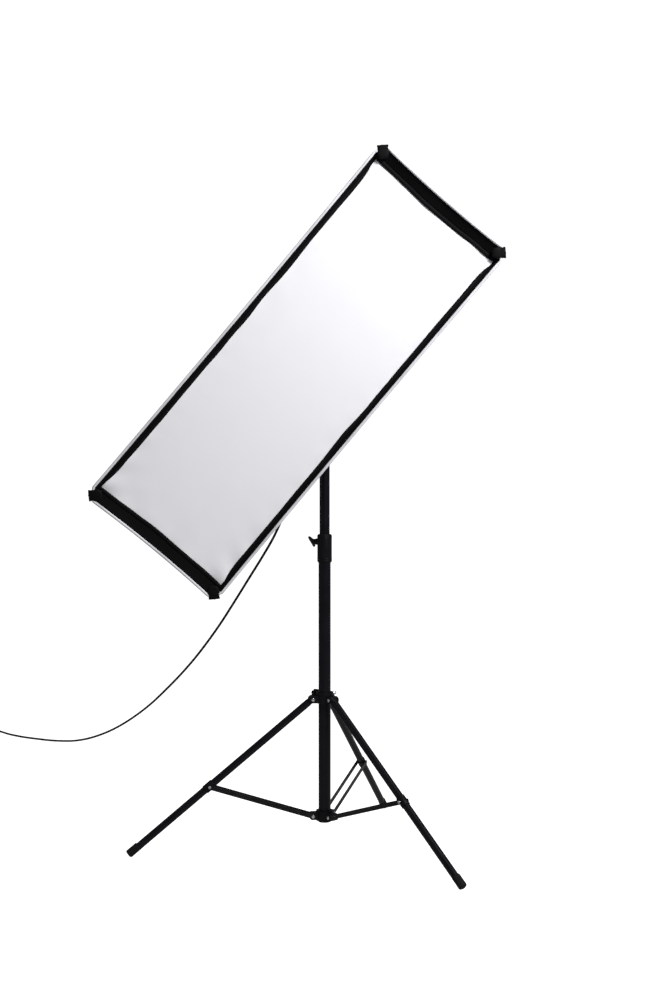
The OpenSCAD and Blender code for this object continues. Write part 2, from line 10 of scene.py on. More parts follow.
import bmesh
import bpy
from mathutils import Matrix, Vector, noise
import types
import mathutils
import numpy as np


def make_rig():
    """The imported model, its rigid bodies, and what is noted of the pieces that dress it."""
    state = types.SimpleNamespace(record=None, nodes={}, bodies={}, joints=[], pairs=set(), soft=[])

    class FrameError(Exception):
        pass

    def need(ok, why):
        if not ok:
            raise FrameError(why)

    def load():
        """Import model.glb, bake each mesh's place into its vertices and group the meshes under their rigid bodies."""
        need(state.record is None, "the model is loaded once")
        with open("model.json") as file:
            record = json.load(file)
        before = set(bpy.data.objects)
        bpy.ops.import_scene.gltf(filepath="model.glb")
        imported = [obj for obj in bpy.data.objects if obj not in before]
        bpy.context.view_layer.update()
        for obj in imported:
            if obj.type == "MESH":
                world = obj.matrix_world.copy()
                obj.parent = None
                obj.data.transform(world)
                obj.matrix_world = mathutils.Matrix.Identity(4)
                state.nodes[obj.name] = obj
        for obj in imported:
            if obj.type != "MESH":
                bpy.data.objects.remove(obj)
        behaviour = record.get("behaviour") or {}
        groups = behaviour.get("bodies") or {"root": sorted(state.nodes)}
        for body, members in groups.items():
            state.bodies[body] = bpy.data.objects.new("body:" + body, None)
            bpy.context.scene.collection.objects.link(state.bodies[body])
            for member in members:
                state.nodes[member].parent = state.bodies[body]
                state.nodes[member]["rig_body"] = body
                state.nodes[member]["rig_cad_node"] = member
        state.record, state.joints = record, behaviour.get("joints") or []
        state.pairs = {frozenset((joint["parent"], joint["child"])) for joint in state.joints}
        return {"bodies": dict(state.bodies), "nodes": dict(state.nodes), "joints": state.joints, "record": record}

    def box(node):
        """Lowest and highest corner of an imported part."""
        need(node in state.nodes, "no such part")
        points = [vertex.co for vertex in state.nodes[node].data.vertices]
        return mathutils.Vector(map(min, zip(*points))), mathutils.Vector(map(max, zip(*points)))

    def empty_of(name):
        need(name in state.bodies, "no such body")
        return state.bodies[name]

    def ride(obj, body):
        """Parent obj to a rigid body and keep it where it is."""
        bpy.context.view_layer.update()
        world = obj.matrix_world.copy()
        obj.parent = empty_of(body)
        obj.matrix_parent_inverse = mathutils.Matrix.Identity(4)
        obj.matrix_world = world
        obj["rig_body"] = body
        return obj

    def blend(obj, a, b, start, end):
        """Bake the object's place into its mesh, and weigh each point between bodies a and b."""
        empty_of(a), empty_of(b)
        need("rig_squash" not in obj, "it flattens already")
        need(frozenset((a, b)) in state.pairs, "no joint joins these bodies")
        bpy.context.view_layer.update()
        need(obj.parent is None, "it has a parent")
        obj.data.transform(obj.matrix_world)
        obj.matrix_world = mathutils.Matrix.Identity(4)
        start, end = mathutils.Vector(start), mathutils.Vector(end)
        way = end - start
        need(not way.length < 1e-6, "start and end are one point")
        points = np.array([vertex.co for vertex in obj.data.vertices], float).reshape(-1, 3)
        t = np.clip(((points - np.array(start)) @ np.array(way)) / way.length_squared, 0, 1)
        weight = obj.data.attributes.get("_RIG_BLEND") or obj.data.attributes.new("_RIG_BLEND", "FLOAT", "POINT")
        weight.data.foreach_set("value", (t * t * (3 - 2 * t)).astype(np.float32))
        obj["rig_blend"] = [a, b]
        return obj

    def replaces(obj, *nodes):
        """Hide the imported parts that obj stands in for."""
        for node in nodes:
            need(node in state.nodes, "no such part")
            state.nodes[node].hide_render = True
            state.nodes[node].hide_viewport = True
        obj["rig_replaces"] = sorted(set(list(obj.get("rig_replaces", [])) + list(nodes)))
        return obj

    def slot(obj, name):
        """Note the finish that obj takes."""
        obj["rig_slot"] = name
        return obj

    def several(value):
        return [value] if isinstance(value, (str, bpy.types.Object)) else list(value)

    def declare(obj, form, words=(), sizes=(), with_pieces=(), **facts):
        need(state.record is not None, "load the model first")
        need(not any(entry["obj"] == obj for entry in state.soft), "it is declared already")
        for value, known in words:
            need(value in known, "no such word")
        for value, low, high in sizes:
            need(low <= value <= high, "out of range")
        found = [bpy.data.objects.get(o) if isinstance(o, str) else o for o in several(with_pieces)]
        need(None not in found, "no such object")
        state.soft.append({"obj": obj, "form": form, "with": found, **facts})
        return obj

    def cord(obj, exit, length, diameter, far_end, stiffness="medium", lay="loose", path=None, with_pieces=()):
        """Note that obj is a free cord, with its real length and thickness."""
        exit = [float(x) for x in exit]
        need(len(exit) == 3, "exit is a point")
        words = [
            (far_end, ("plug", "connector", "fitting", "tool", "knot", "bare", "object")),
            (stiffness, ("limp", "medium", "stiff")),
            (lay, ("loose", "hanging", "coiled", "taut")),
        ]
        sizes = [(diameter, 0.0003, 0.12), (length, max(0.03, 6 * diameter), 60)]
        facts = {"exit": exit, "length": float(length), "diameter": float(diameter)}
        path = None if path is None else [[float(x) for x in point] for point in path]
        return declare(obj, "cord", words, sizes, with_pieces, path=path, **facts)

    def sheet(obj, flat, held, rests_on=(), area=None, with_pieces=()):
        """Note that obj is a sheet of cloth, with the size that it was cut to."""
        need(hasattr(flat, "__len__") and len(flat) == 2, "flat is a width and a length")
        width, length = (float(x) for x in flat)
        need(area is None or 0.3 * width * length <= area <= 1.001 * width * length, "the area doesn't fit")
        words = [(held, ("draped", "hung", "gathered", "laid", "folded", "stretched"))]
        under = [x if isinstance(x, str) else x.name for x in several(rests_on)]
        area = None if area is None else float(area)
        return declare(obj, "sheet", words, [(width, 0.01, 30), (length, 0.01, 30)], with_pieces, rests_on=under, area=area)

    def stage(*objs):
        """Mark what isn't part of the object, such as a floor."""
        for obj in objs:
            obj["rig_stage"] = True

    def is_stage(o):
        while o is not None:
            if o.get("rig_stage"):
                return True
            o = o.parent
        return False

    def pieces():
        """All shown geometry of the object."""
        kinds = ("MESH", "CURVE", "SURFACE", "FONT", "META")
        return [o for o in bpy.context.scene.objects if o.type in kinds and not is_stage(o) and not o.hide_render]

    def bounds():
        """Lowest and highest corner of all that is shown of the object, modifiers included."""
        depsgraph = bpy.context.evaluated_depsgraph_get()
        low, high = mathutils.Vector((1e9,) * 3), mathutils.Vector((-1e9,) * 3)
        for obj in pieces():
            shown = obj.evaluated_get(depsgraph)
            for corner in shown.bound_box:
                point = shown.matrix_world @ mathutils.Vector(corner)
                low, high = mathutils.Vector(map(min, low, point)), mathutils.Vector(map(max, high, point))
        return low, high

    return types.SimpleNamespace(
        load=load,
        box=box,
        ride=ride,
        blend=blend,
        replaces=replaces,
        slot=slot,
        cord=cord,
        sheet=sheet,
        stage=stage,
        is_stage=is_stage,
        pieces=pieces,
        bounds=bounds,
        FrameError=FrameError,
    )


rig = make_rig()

bl_info = {
    "name": "Strip softbox",
    "version": (1, 0, 0),
    "blender": (4, 5, 0),
    "location": "View3D > Sidebar > Softbox",
    "description": "Strip softbox with its lamp head, folding stand and mains lead",
    "category": "Add Mesh",
}

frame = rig.load()
CAD_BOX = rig.bounds()
JOINTS = {joint["name"]: joint for joint in frame["joints"]}
LEGS = "abc"


# ---------- places, read from the frame ----------

def axis_of(joint):
    return Vector(JOINTS[joint]["axis"]).normalized()


def place_of(joint):
    return Vector(JOINTS[joint]["pos_m"])


def local_frame(origin, x_axis, y_axis):
    """A matrix that carries local points to the row frame."""
    z_axis = x_axis.cross(y_axis)
    turn = Matrix((x_axis, y_axis, z_axis)).transposed().to_4x4()
    return Matrix.Translation(origin) @ turn


AHEAD = axis_of("softbox_roll")
TILT_AT = place_of("tilt")
EYE = place_of("softbox_roll") + AHEAD * (TILT_AT - place_of("softbox_roll")).dot(AHEAD)
HEAD = local_frame(EYE, axis_of("tilt"), -AHEAD)
BOX = local_frame(EYE, axis_of("ring_lock_turn"), -AHEAD)


def reach(node, place, axis):
    """Lowest and highest value of a CAD node along one axis of a local frame."""
    inverse = place.inverted()
    values = [(inverse @ vert.co)[axis] for vert in frame["nodes"][node].data.vertices]
    return min(values), max(values)


def leg_place(letter):
    """The frame of an open leg: its hinge at the origin, the leg running down -Z, X outwards."""
    hinge = place_of("leg_hinge_" + letter)
    across = axis_of("leg_hinge_" + letter)
    foot = Vector(sum((Vector(c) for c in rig.box("leg_foot_" + letter)), Vector()) / 2)
    up = hinge - foot
    up = (up - across * up.dot(across)).normalized()
    return local_frame(hinge, across.cross(up), across)


def brace_place(letter):
    """The frame of a brace: its lower pivot at the origin, the brace running up +Z."""
    pivot = place_of("brace_hinge_" + letter)
    across = -axis_of("brace_hinge_" + letter)
    low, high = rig.box("brace_" + letter)
    middle = (Vector(low) + Vector(high)) / 2
    up = middle - pivot
    up = (up - across * up.dot(across)).normalized()
    return local_frame(pivot, across.cross(up), across)


RIM_OUT_U = reach("rim_piping", BOX, 0)[1]
RIM_OUT_V = reach("rim_piping", BOX, 2)[1]
RIM_FRONT, RIM_BACK = reach("rim_piping", BOX, 1)
PIPE_R = (RIM_BACK - RIM_FRONT) / 2
RIM_U = RIM_OUT_U - PIPE_R
RIM_V = RIM_OUT_V - PIPE_R
RIM_Y = (RIM_FRONT + RIM_BACK) / 2
WHITE_Y = reach("diffuser", BOX, 1)[0]
BAFFLE_Y = reach("inner_baffle", BOX, 1)[0]
CLOTH_Y = reach("shell_panels", BOX, 1)[1]
BACK_HALF = reach("rear_collar", BOX, 0)[1]

# The lead's route, from the lamp head to the coil, as the CAD model has it.
LEAD_ROUTE = [
    (-0.062, 0.1572, 1.1343), (-0.064, 0.171, 1.131), (-0.066, 0.187, 1.121), (-0.068, 0.200, 1.104),
    (-0.070, 0.209, 1.080), (-0.071, 0.215, 1.050), (-0.074, 0.227, 1.020), (-0.078, 0.241, 0.985),
    (-0.086, 0.263, 0.935), (-0.097, 0.293, 0.880), (-0.112, 0.330, 0.825), (-0.140, 0.371, 0.762),
    (-0.175, 0.420, 0.703), (-0.215, 0.476, 0.641), (-0.260, 0.538, 0.571), (-0.305, 0.600, 0.503),
    (-0.350, 0.662, 0.441), (-0.395, 0.724, 0.384), (-0.445, 0.793, 0.327), (-0.495, 0.862, 0.275),
    (-0.548, 0.934, 0.223), (-0.602, 1.007, 0.177), (-0.655, 1.080, 0.137), (-0.710, 1.154, 0.101),
    (-0.765, 1.228, 0.071), (-0.820, 1.303, 0.046), (-0.875, 1.376, 0.027), (-0.930, 1.447, 0.014),
    (-0.985, 1.506, 0.006), (-1.040, 1.548, 0.004), (-1.100, 1.588, 0.004), (-1.160, 1.644, 0.004),
    (-1.200, 1.694, 0.004), (-1.237, 1.740, 0.004),
]
PAN_AT = 5
MAST_AT = 10
FLOOR_AT = 27
PLUG_ROUTE = [
    (-1.251, 1.7553, 0.0110), (-1.2632, 1.7765, 0.0138), (-1.2754, 1.7972, 0.0170), (-1.2875, 1.8180, 0.018),
]
COIL_AT = Vector((-1.293, 1.731, 0))
COIL_R = 0.038
COIL_ENTRY = math.radians(39)
LAYER_HEIGHTS = (0.004, 0.0108)


# ---------- settings ----------

def length(name, default, text):
    return bpy.props.FloatProperty(name=name, description=text, default=default,
                                   precision=4, unit="LENGTH")


def tint(name, default, text):
    return bpy.props.FloatVectorProperty(name=name, description=text, default=default,
                                         size=3, min=0, max=1, subtype="COLOR")


class SoftboxSizes(bpy.types.PropertyGroup):
    """Sizes that the cloth, the trim and the lead are made from."""
    sag_long: length("Long edge sag", 0.0025, "How far the long edges curve in between the corners")
    sag_short: length("Short edge sag", 0.0055, "How far the short edges curve in")
    rod_bow: length("Rod bow", 0.011, "How far the sprung rods bow outwards")
    panel_sag: length("Panel sag", 0.009, "How far a cloth panel dips between its rods")
    wrinkle: length("Wrinkle", 0.0016, "Height of the cloth's folds")
    binding: length("Binding", 0.0078, "Width of the binding round the white front")
    pocket: length("Pocket", 0.024, "Width of a corner pocket's end")
    lead: length("Lead diameter", 0.007, "Diameter of the mains lead")
    turns: bpy.props.IntProperty(name="Coil turns", description="Turns in each layer of the coil",
                                 default=3, min=1, max=5)


class SoftboxColours(bpy.types.PropertyGroup):
    """Colours of the main finishes."""
    tube: tint("Tubes", (0.0045, 0.0045, 0.0065), "Lacquer on the stand's tubes")
    plastic: tint("Plastic", (0.004, 0.004, 0.005), "Moulded clamps and knobs")
    cloth: tint("Cloth", (0.0025, 0.0025, 0.0028), "Outside of the softbox")
    white: tint("White front", (0.86, 0.86, 0.89), "Diffusing cloth")
    piping: tint("Piping", (0.62, 0.62, 0.65), "Edge round the front")
    casing: tint("Casing", (0.018, 0.018, 0.020), "Lamp head's casing")
    steel: tint("Steel", (0.62, 0.63, 0.65), "Bright pins and screws")


def sizes():
    return bpy.context.scene.softbox_sizes


def colours():
    return bpy.context.scene.softbox_colours


# ---------- materials ----------

def node(tree, kind, settings=(), **inputs):
    """Adds a shader node. An input is a number, a colour or another node's output."""
    made = tree.nodes.new(kind)
    for key, value in dict(settings).items():
        setattr(made, key, value)
    for key, value in inputs.items():
        socket = made.inputs[key.replace("_", " ")]
        if isinstance(value, bpy.types.NodeSocket):
            tree.links.new(value, socket)
        else:
            socket.default_value = value
    return made


def blank(name, roughness, **constants):
    """A material with one principled shader, and its tree."""
    made = bpy.data.materials.new(name)
    made.use_nodes = True
    tree = made.node_tree
    shader = tree.nodes["Principled BSDF"]
    shader.inputs["Roughness"].default_value = roughness
    for key, value in constants.items():
        shader.inputs[key.replace("_", " ")].default_value = value
    return made, tree, shader


def ramp(tree, fac, stops):
    made = node(tree, "ShaderNodeValToRGB", Fac=fac)
    while len(made.color_ramp.elements) < len(stops):
        made.color_ramp.elements.new(0.5)
    for element, (at, colour) in zip(made.color_ramp.elements, stops):
        element.position = at
        element.color = (*colour, 1)
    return made.outputs["Color"]


def grey(value):
    return (value, value, value)


def scaled(colour, factor):
    return tuple(min(1, channel * factor) for channel in colour)


def object_space(tree):
    return node(tree, "ShaderNodeTexCoord").outputs["Object"]


def uv_space(tree):
    return node(tree, "ShaderNodeTexCoord").outputs["UV"]


def grain(tree, space, scale, detail=3.0, rough=0.55):
    return node(tree, "ShaderNodeTexNoise", Vector=space, Scale=scale, Detail=detail,
                Roughness=rough).outputs["Fac"]


def bump(tree, height, distance, strength=1.0, under=None):
    made = node(tree, "ShaderNodeBump", Height=height, Distance=distance, Strength=strength)
    if under is not None:
        tree.links.new(under, made.inputs["Normal"])
    return made.outputs["Normal"]


def blend_values(tree, first, second, operation="ADD"):
    made = tree.nodes.new("ShaderNodeMath")
    made.operation = operation
    for socket, value in zip(made.inputs, (first, second)):
        if isinstance(value, bpy.types.NodeSocket):
            tree.links.new(value, socket)
        else:
            socket.default_value = value
    return made.outputs["Value"]


def wire_up(tree, shader, **links):
    for key, value in links.items():
        tree.links.new(value, shader.inputs[key.replace("_", " ")])


def lacquered_tube():
    """Dark lacquer on steel tube, with faint drawing lines and rubbed patches."""
    made, tree, shader = blank("lacquered_tube", 0.3, Specular_IOR_Level=0.12, Coat_Weight=0.04,
                               Coat_Roughness=0.2)
    space = object_space(tree)
    stretched = node(tree, "ShaderNodeMapping", Vector=space, Scale=(260, 260, 3)).outputs["Vector"]
    lines = grain(tree, stretched, 1.0, 2)
    cloud = grain(tree, space, 22, 4)
    tube = tuple(colours().tube)
    wire_up(tree, shader,
            Base_Color=ramp(tree, cloud, [(0.35, tube), (0.75, scaled(tube, 1.6))]),
            Roughness=ramp(tree, blend_values(tree, cloud, lines, "MULTIPLY"),
                           [(0.1, grey(0.24)), (0.5, grey(0.42))]),
            Normal=bump(tree, lines, 0.00012, 0.35))
    return made


def moulded(name, colour, roughness=0.46, scale=1400, depth=0.00018):
    """Moulded plastic with a fine spark-eroded grain and slightly polished high spots."""
    made, tree, shader = blank(name, roughness, Specular_IOR_Level=0.12)
    space = object_space(tree)
    fine = grain(tree, space, scale, 2)
    cloud = grain(tree, space, 30, 4)
    wire_up(tree, shader,
            Base_Color=ramp(tree, cloud, [(0.3, scaled(colour, 0.85)), (0.8, scaled(colour, 1.5))]),
            Roughness=ramp(tree, cloud, [(0.3, grey(roughness - 0.08)), (0.75, grey(roughness + 0.1))]),
            Normal=bump(tree, fine, depth, 0.6))
    return made


def moulded_black():
    return moulded("moulded_black", tuple(colours().plastic))


def rubber_feet():
    return moulded("rubber_feet", (0.009, 0.009, 0.0095), 0.72, 700, 0.0003)


def button_grey():
    return moulded("button_grey", (0.32, 0.33, 0.35), 0.3)


def lead_sheath():
    return moulded("lead_sheath", (0.004, 0.004, 0.0045), 0.38, 500, 0.0001)


def powder_coat(name, colour, scale=650, depth=0.00035):
    """Orange-peel powder coat with small sparkling flecks."""
    made, tree, shader = blank(name, 0.5, Specular_IOR_Level=0.14)
    space = object_space(tree)
    peel = grain(tree, space, scale, 3)
    flecks = node(tree, "ShaderNodeTexVoronoi", Vector=space, Scale=scale * 1.3).outputs["Distance"]
    wire_up(tree, shader,
            Base_Color=ramp(tree, flecks, [(0.03, scaled(colour, 3.4)), (0.12, colour)]),
            Roughness=ramp(tree, peel, [(0.3, grey(0.4)), (0.7, grey(0.62))]),
            Normal=bump(tree, peel, depth, 0.7))
    return made


def cast_black():
    return powder_coat("cast_black", (0.006, 0.006, 0.007))


def head_casing():
    return powder_coat("head_casing", tuple(colours().casing), 900, 0.00025)


def black_straps():
    """Painted flat strip, a little worn along its length."""
    made, tree, shader = blank("black_straps", 0.36, Specular_IOR_Level=0.14)
    space = object_space(tree)
    cloud = grain(tree, space, 45, 5)
    wire_up(tree, shader,
            Base_Color=ramp(tree, cloud, [(0.4, (0.005, 0.005, 0.006)), (0.78, (0.018, 0.018, 0.020))]),
            Roughness=ramp(tree, cloud, [(0.3, grey(0.3)), (0.7, grey(0.48))]),
            Normal=bump(tree, grain(tree, space, 500), 0.0002, 0.4))
    return made


def bright_steel():
    """Zinc-bright steel with turning marks."""
    made, tree, shader = blank("bright_steel", 0.3, Metallic=1.0)
    space = object_space(tree)
    cloud = grain(tree, space, 120, 4)
    steel = tuple(colours().steel)
    wire_up(tree, shader,
            Base_Color=ramp(tree, cloud, [(0.35, scaled(steel, 0.8)), (0.7, steel)]),
            Roughness=ramp(tree, cloud, [(0.3, grey(0.22)), (0.7, grey(0.4))]),
            Normal=bump(tree, grain(tree, space, 2500, 1), 0.00005, 0.4))
    return made


def woven(name, colour, pitch, roughness, lift, sheen, ripstop=0.0, light=1.25, dark=0.86,
          specular=0.06):
    """Plain-woven cloth: warp and weft in the piece's own UV map, which is in metres."""
    made, tree, shader = blank(name, roughness, Sheen_Weight=sheen, Sheen_Roughness=0.45,
                               Specular_IOR_Level=specular)
    space = uv_space(tree)
    scale = math.pi / 10 / pitch
    warp = node(tree, "ShaderNodeTexWave", {"bands_direction": "X"}, Vector=space, Scale=scale)
    weft = node(tree, "ShaderNodeTexWave", {"bands_direction": "Y"}, Vector=space, Scale=scale)
    threads = blend_values(tree, warp.outputs["Fac"], weft.outputs["Fac"], "MAXIMUM")
    cloud = grain(tree, object_space(tree), 14, 5)
    colour_out = ramp(tree, cloud, [(0.3, scaled(colour, dark)), (0.75, scaled(colour, light))])
    normal = bump(tree, threads, lift, 0.5)
    if ripstop:
        grid = math.pi / 10 / ripstop
        across = node(tree, "ShaderNodeTexWave", {"bands_direction": "X"}, Vector=space, Scale=grid)
        along = node(tree, "ShaderNodeTexWave", {"bands_direction": "Y"}, Vector=space, Scale=grid)
        crossing = blend_values(tree, across.outputs["Fac"], along.outputs["Fac"], "MAXIMUM")
        ridges = ramp(tree, crossing, [(0.93, grey(0)), (1.0, grey(1))])
        normal = bump(tree, ridges, lift * 1.5, 0.5, normal)
    wire_up(tree, shader, Base_Color=colour_out, Normal=normal)
    return made


def black_cloth():
    return woven("black_cloth", tuple(colours().cloth), 0.0011, 0.8, 0.00035, 0.01, 0.0075)


def shell_cloth():
    return woven("shell_cloth", (0.010, 0.010, 0.011), 0.0011, 0.75, 0.0004, 0.04, 0.0075, 1.5, 0.8, 0.2)


def white_diffuser():
    return woven("white_diffuser", tuple(colours().white), 0.0009, 0.62, 0.00012, 0.05, 0, 1.0, 0.985,
                 0.16)


def grey_piping():
    return woven("grey_piping", tuple(colours().piping), 0.0016, 0.6, 0.0004, 0.05)


def binding_tape():
    return woven("binding_tape", (0.0035, 0.0035, 0.004), 0.0016, 0.6, 0.0005, 0.015)


def silver_lining():
    """Silvered inside of the cloth."""
    made, tree, shader = blank("silver_lining", 0.33, Metallic=0.9)
    crinkle = grain(tree, object_space(tree), 60, 6)
    wire_up(tree, shader,
            Base_Color=ramp(tree, crinkle, [(0.3, grey(0.55)), (0.7, grey(0.78))]),
            Normal=bump(tree, crinkle, 0.002, 0.5))
    return made


def hook_tape():
    """The fuzzy half of a hook-and-loop strip."""
    made, tree, shader = blank("hook_tape", 0.9, Sheen_Weight=0.35)
    fuzz = grain(tree, object_space(tree), 900, 6, 0.8)
    wire_up(tree, shader,
            Base_Color=ramp(tree, fuzz, [(0.35, grey(0.008)), (0.7, grey(0.035))]),
            Normal=bump(tree, fuzz, 0.0012, 0.9))
    return made


def clear_glass():
    made, tree, shader = blank("clear_glass", 0.06, Transmission_Weight=0.9, IOR=1.47, Alpha=0.55)
    frost = grain(tree, object_space(tree), 300, 3)
    wire_up(tree, shader,
            Base_Color=ramp(tree, frost, [(0.3, (0.9, 0.93, 0.95)), (0.7, (0.97, 0.98, 1.0))]))
    return made


def lamp_glass():
    made, tree, shader = blank("lamp_glass", 0.18, Subsurface_Weight=0.2)
    haze = grain(tree, object_space(tree), 80, 3)
    wire_up(tree, shader,
            Base_Color=ramp(tree, haze, [(0.3, (0.80, 0.80, 0.74)), (0.7, (0.93, 0.93, 0.88))]))
    return made


def green_board():
    made, tree, shader = blank("green_board", 0.4)
    tracks = node(tree, "ShaderNodeTexVoronoi", {"distance": "MANHATTAN"},
                  Vector=object_space(tree), Scale=160)
    wire_up(tree, shader,
            Base_Color=ramp(tree, tracks.outputs["Distance"],
                            [(0.25, (0.02, 0.10, 0.04)), (0.5, (0.04, 0.18, 0.07))]))
    return made


FINISHES = {
    "painted_tube": lacquered_tube, "moulded_black": moulded_black, "black_straps": black_straps,
    "rubber_feet": rubber_feet, "bright_steel": bright_steel, "cast_black": cast_black,
    "head_casing": head_casing, "clear_glass": clear_glass, "lamp_glass": lamp_glass,
    "green_board": green_board, "button_grey": button_grey, "black_cloth": black_cloth,
    "grey_piping": grey_piping, "white_diffuser": white_diffuser, "shell_cloth": shell_cloth,
    "lead_sheath": lead_sheath, "binding_tape": binding_tape, "silver_lining": silver_lining,
    "hook_tape": hook_tape,
}
MADE = {}


def finish(name):
    """The material of that name, made on first use."""
    if name not in MADE:
        MADE[name] = FINISHES[name]()
    return MADE[name]


# ---------- making pieces ----------

def piece_from(name, mesh, *finishes):
    """Puts a finished mesh in the scene as a piece."""
    made = bpy.data.objects.new(name, mesh)
    bpy.context.scene.collection.objects.link(made)
    mesh.materials.clear()
    for each in finishes:
        mesh.materials.append(finish(each))
    return made


def piece(name, shape, place, *finishes, smooth=40.0, tidy=True):
    """Turns a bmesh in a local frame into a piece at its place, with its faces pointing outwards."""
    if tidy:
        bmesh.ops.remove_doubles(shape, verts=shape.verts, dist=1e-6)
        bmesh.ops.recalc_face_normals(shape, faces=shape.faces)
    bmesh.ops.transform(shape, matrix=place, verts=shape.verts)
    mesh = bpy.data.meshes.new(name)
    shape.to_mesh(mesh)
    shape.free()
    soften(mesh, smooth)
    return piece_from(name, mesh, *finishes)


def soften(mesh, angle):
    """Smooth shading, with edges sharper than angle kept crisp."""
    mesh.shade_smooth()
    mesh.set_sharp_from_angle(angle=math.radians(angle))
    return mesh


def belongs(made, body, slot, *nodes):
    """Says what a piece rides on, which finish it has and which CAD nodes it stands for."""
    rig.ride(made, body)
    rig.slot(made, slot)
    if nodes:
        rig.replaces(made, *nodes)
    return made


def rounded_copy(name, width=0.0006, segments=2, sharper_than=30.0):
    """A CAD node's shape with its edges eased, standing for that node."""
    source = frame["nodes"][name]
    slot = next(s["material_slot"] for s in frame["record"]["subparts"] if s["node"] == name)
    shape = bmesh.new()
    shape.from_mesh(source.data)
    bmesh.ops.remove_doubles(shape, verts=shape.verts, dist=1e-5)
    bmesh.ops.dissolve_limit(shape, angle_limit=math.radians(0.5), verts=shape.verts, edges=shape.edges)
    limit = math.radians(sharper_than)
    edges = [e for e in shape.edges if e.is_manifold and e.calc_face_angle(0) > limit]
    bmesh.ops.bevel(shape, geom=edges, offset=width, offset_type="OFFSET", segments=segments,
                    profile=0.5, affect="EDGES", material=-1, clamp_overlap=True)
    mesh = bpy.data.meshes.new(name + "_eased")
    shape.to_mesh(mesh)
    shape.free()
    soften(mesh, 50)
    made = piece_from(name + "_eased", mesh, slot)
    body = next(b for b, nodes in frame["record"]["behaviour"]["bodies"].items() if name in nodes)
    return belongs(made, body, slot, name)


def ring_of(shape, points):
    """A closed loop of edges through the points."""
    verts = [shape.verts.new(p) for p in points]
    return [shape.edges.new((a, b)) for a, b in zip(verts, verts[1:] + verts[:1])]


def loft(rings, capped=True):
    """A skin over a row of rings with the same number of points."""
    shape = bmesh.new()
    loops = [ring_of(shape, points) for points in rings]
    for first, second in zip(loops, loops[1:]):
        bmesh.ops.bridge_loops(shape, edges=first + second)
    if capped:
        for loop in (loops[0], loops[-1]):
            bmesh.ops.contextual_create(shape, geom=loop)
    return shape


def spline(route, steps):
    """A smooth curve through the points."""
    points = [Vector(p) for p in route]
    path = []
    for i in range(len(points) - 1):
        p0, p1, p2, p3 = (points[max(0, min(len(points) - 1, i + k))] for k in (-1, 0, 1, 2))
        for step in range(steps):
            t = step / steps
            path.append(0.5 * (2 * p1 + t * (p2 - p0) + t * t * (2 * p0 - 5 * p1 + 4 * p2 - p3)
                               + t ** 3 * (3 * p1 - p0 - 3 * p2 + p3)))
    return path + [points[-1]]


def tube_along(path, radius, sides=12, closed=False, widths=None):
    """A round bar whose middle follows the path."""
    shape = bmesh.new()
    count = len(path)
    loops = []
    side = None
    for i, point in enumerate(path):
        ahead = path[(i + 1) % count] if closed else path[min(count - 1, i + 1)]
        behind = path[i - 1] if closed or i else path[0]
        way = (ahead - behind).normalized()
        side = way.orthogonal() if side is None else side - way * side.dot(way)
        side = side.normalized()
        other = way.cross(side)
        size = radius * (widths[i] if widths else 1)
        loops.append(ring_of(shape, [
            point + size * (side * math.cos(a) + other * math.sin(a))
            for a in (math.tau * k / sides for k in range(sides))
        ]))
    pairs = list(zip(loops, loops[1:])) + ([(loops[-1], loops[0])] if closed else [])
    for first, second in pairs:
        bmesh.ops.bridge_loops(shape, edges=first + second)
    if not closed:
        for loop in (loops[0], loops[-1]):
            bmesh.ops.contextual_create(shape, geom=loop)
    return shape


def cloth_grid(across, along, width, depth, form):
    """A sheet of cloth: form turns 0-1 across and 0-1 along into a point. UV is in metres."""
    shape = bmesh.new()
    uv = shape.loops.layers.uv.new("UVMap")
    bmesh.ops.create_grid(shape, x_segments=across, y_segments=along, size=0.5)
    for face in shape.faces:
        for loop in face.loops:
            loop[uv].uv = (loop.vert.co.x * width, loop.vert.co.y * depth)
    for vert in shape.verts:
        vert.co = form(vert.co.x + 0.5, vert.co.y + 0.5)
    shape.normal_update()
    return shape


def facing(shape, point, outwards=True):
    """Turns an open sheet's faces away from a point, or towards it."""
    total = sum((f.calc_center_median() - point).dot(f.normal) * f.calc_area() for f in shape.faces)
    if (total > 0) != outwards:
        bmesh.ops.reverse_faces(shape, faces=shape.faces)
    return shape


def thicken(made, thickness, offset=-1.0, inner=0):
    """Gives a sheet its thickness, with the finish of slot number inner on its far side."""
    solid = made.modifiers.new("thickness", "SOLIDIFY")
    solid.thickness = thickness
    solid.offset = offset
    solid.material_offset = inner
    solid.material_offset_rim = 0
    return made


def screw_head(radius, height, recess=0.45):
    """A low domed screw head with a round recess, its seat at the origin, along +Z."""
    shape = bmesh.new()
    bmesh.ops.create_circle(shape, segments=24, radius=radius, cap_ends=True)
    top = bmesh.ops.extrude_face_region(shape, geom=shape.faces[:])["geom"]
    verts = [v for v in top if isinstance(v, bmesh.types.BMVert)]
    bmesh.ops.translate(shape, verts=verts, vec=(0, 0, height))
    edges = [e for e in shape.edges if all(v in verts for v in e.verts)]
    bmesh.ops.bevel(shape, geom=edges, offset=height * 0.6, segments=3, profile=0.5,
                    affect="EDGES", material=-1)
    cap = max(shape.faces, key=lambda f: f.calc_center_median().z)
    bmesh.ops.inset_individual(shape, faces=[cap], thickness=radius * recess)
    bmesh.ops.translate(shape, verts=cap.verts, vec=(0, 0, -height * 0.5))
    return shape


def copies(source, places):
    """One bmesh holding a copy of source at each place."""
    whole = bmesh.new()
    mesh = bpy.data.meshes.new("copy")
    source.to_mesh(mesh)
    source.free()
    for place in places:
        start = len(whole.verts)
        whole.from_mesh(mesh)
        whole.verts.ensure_lookup_table()
        bmesh.ops.transform(whole, matrix=place, verts=whole.verts[start:])
    bpy.data.meshes.remove(mesh)
    return whole


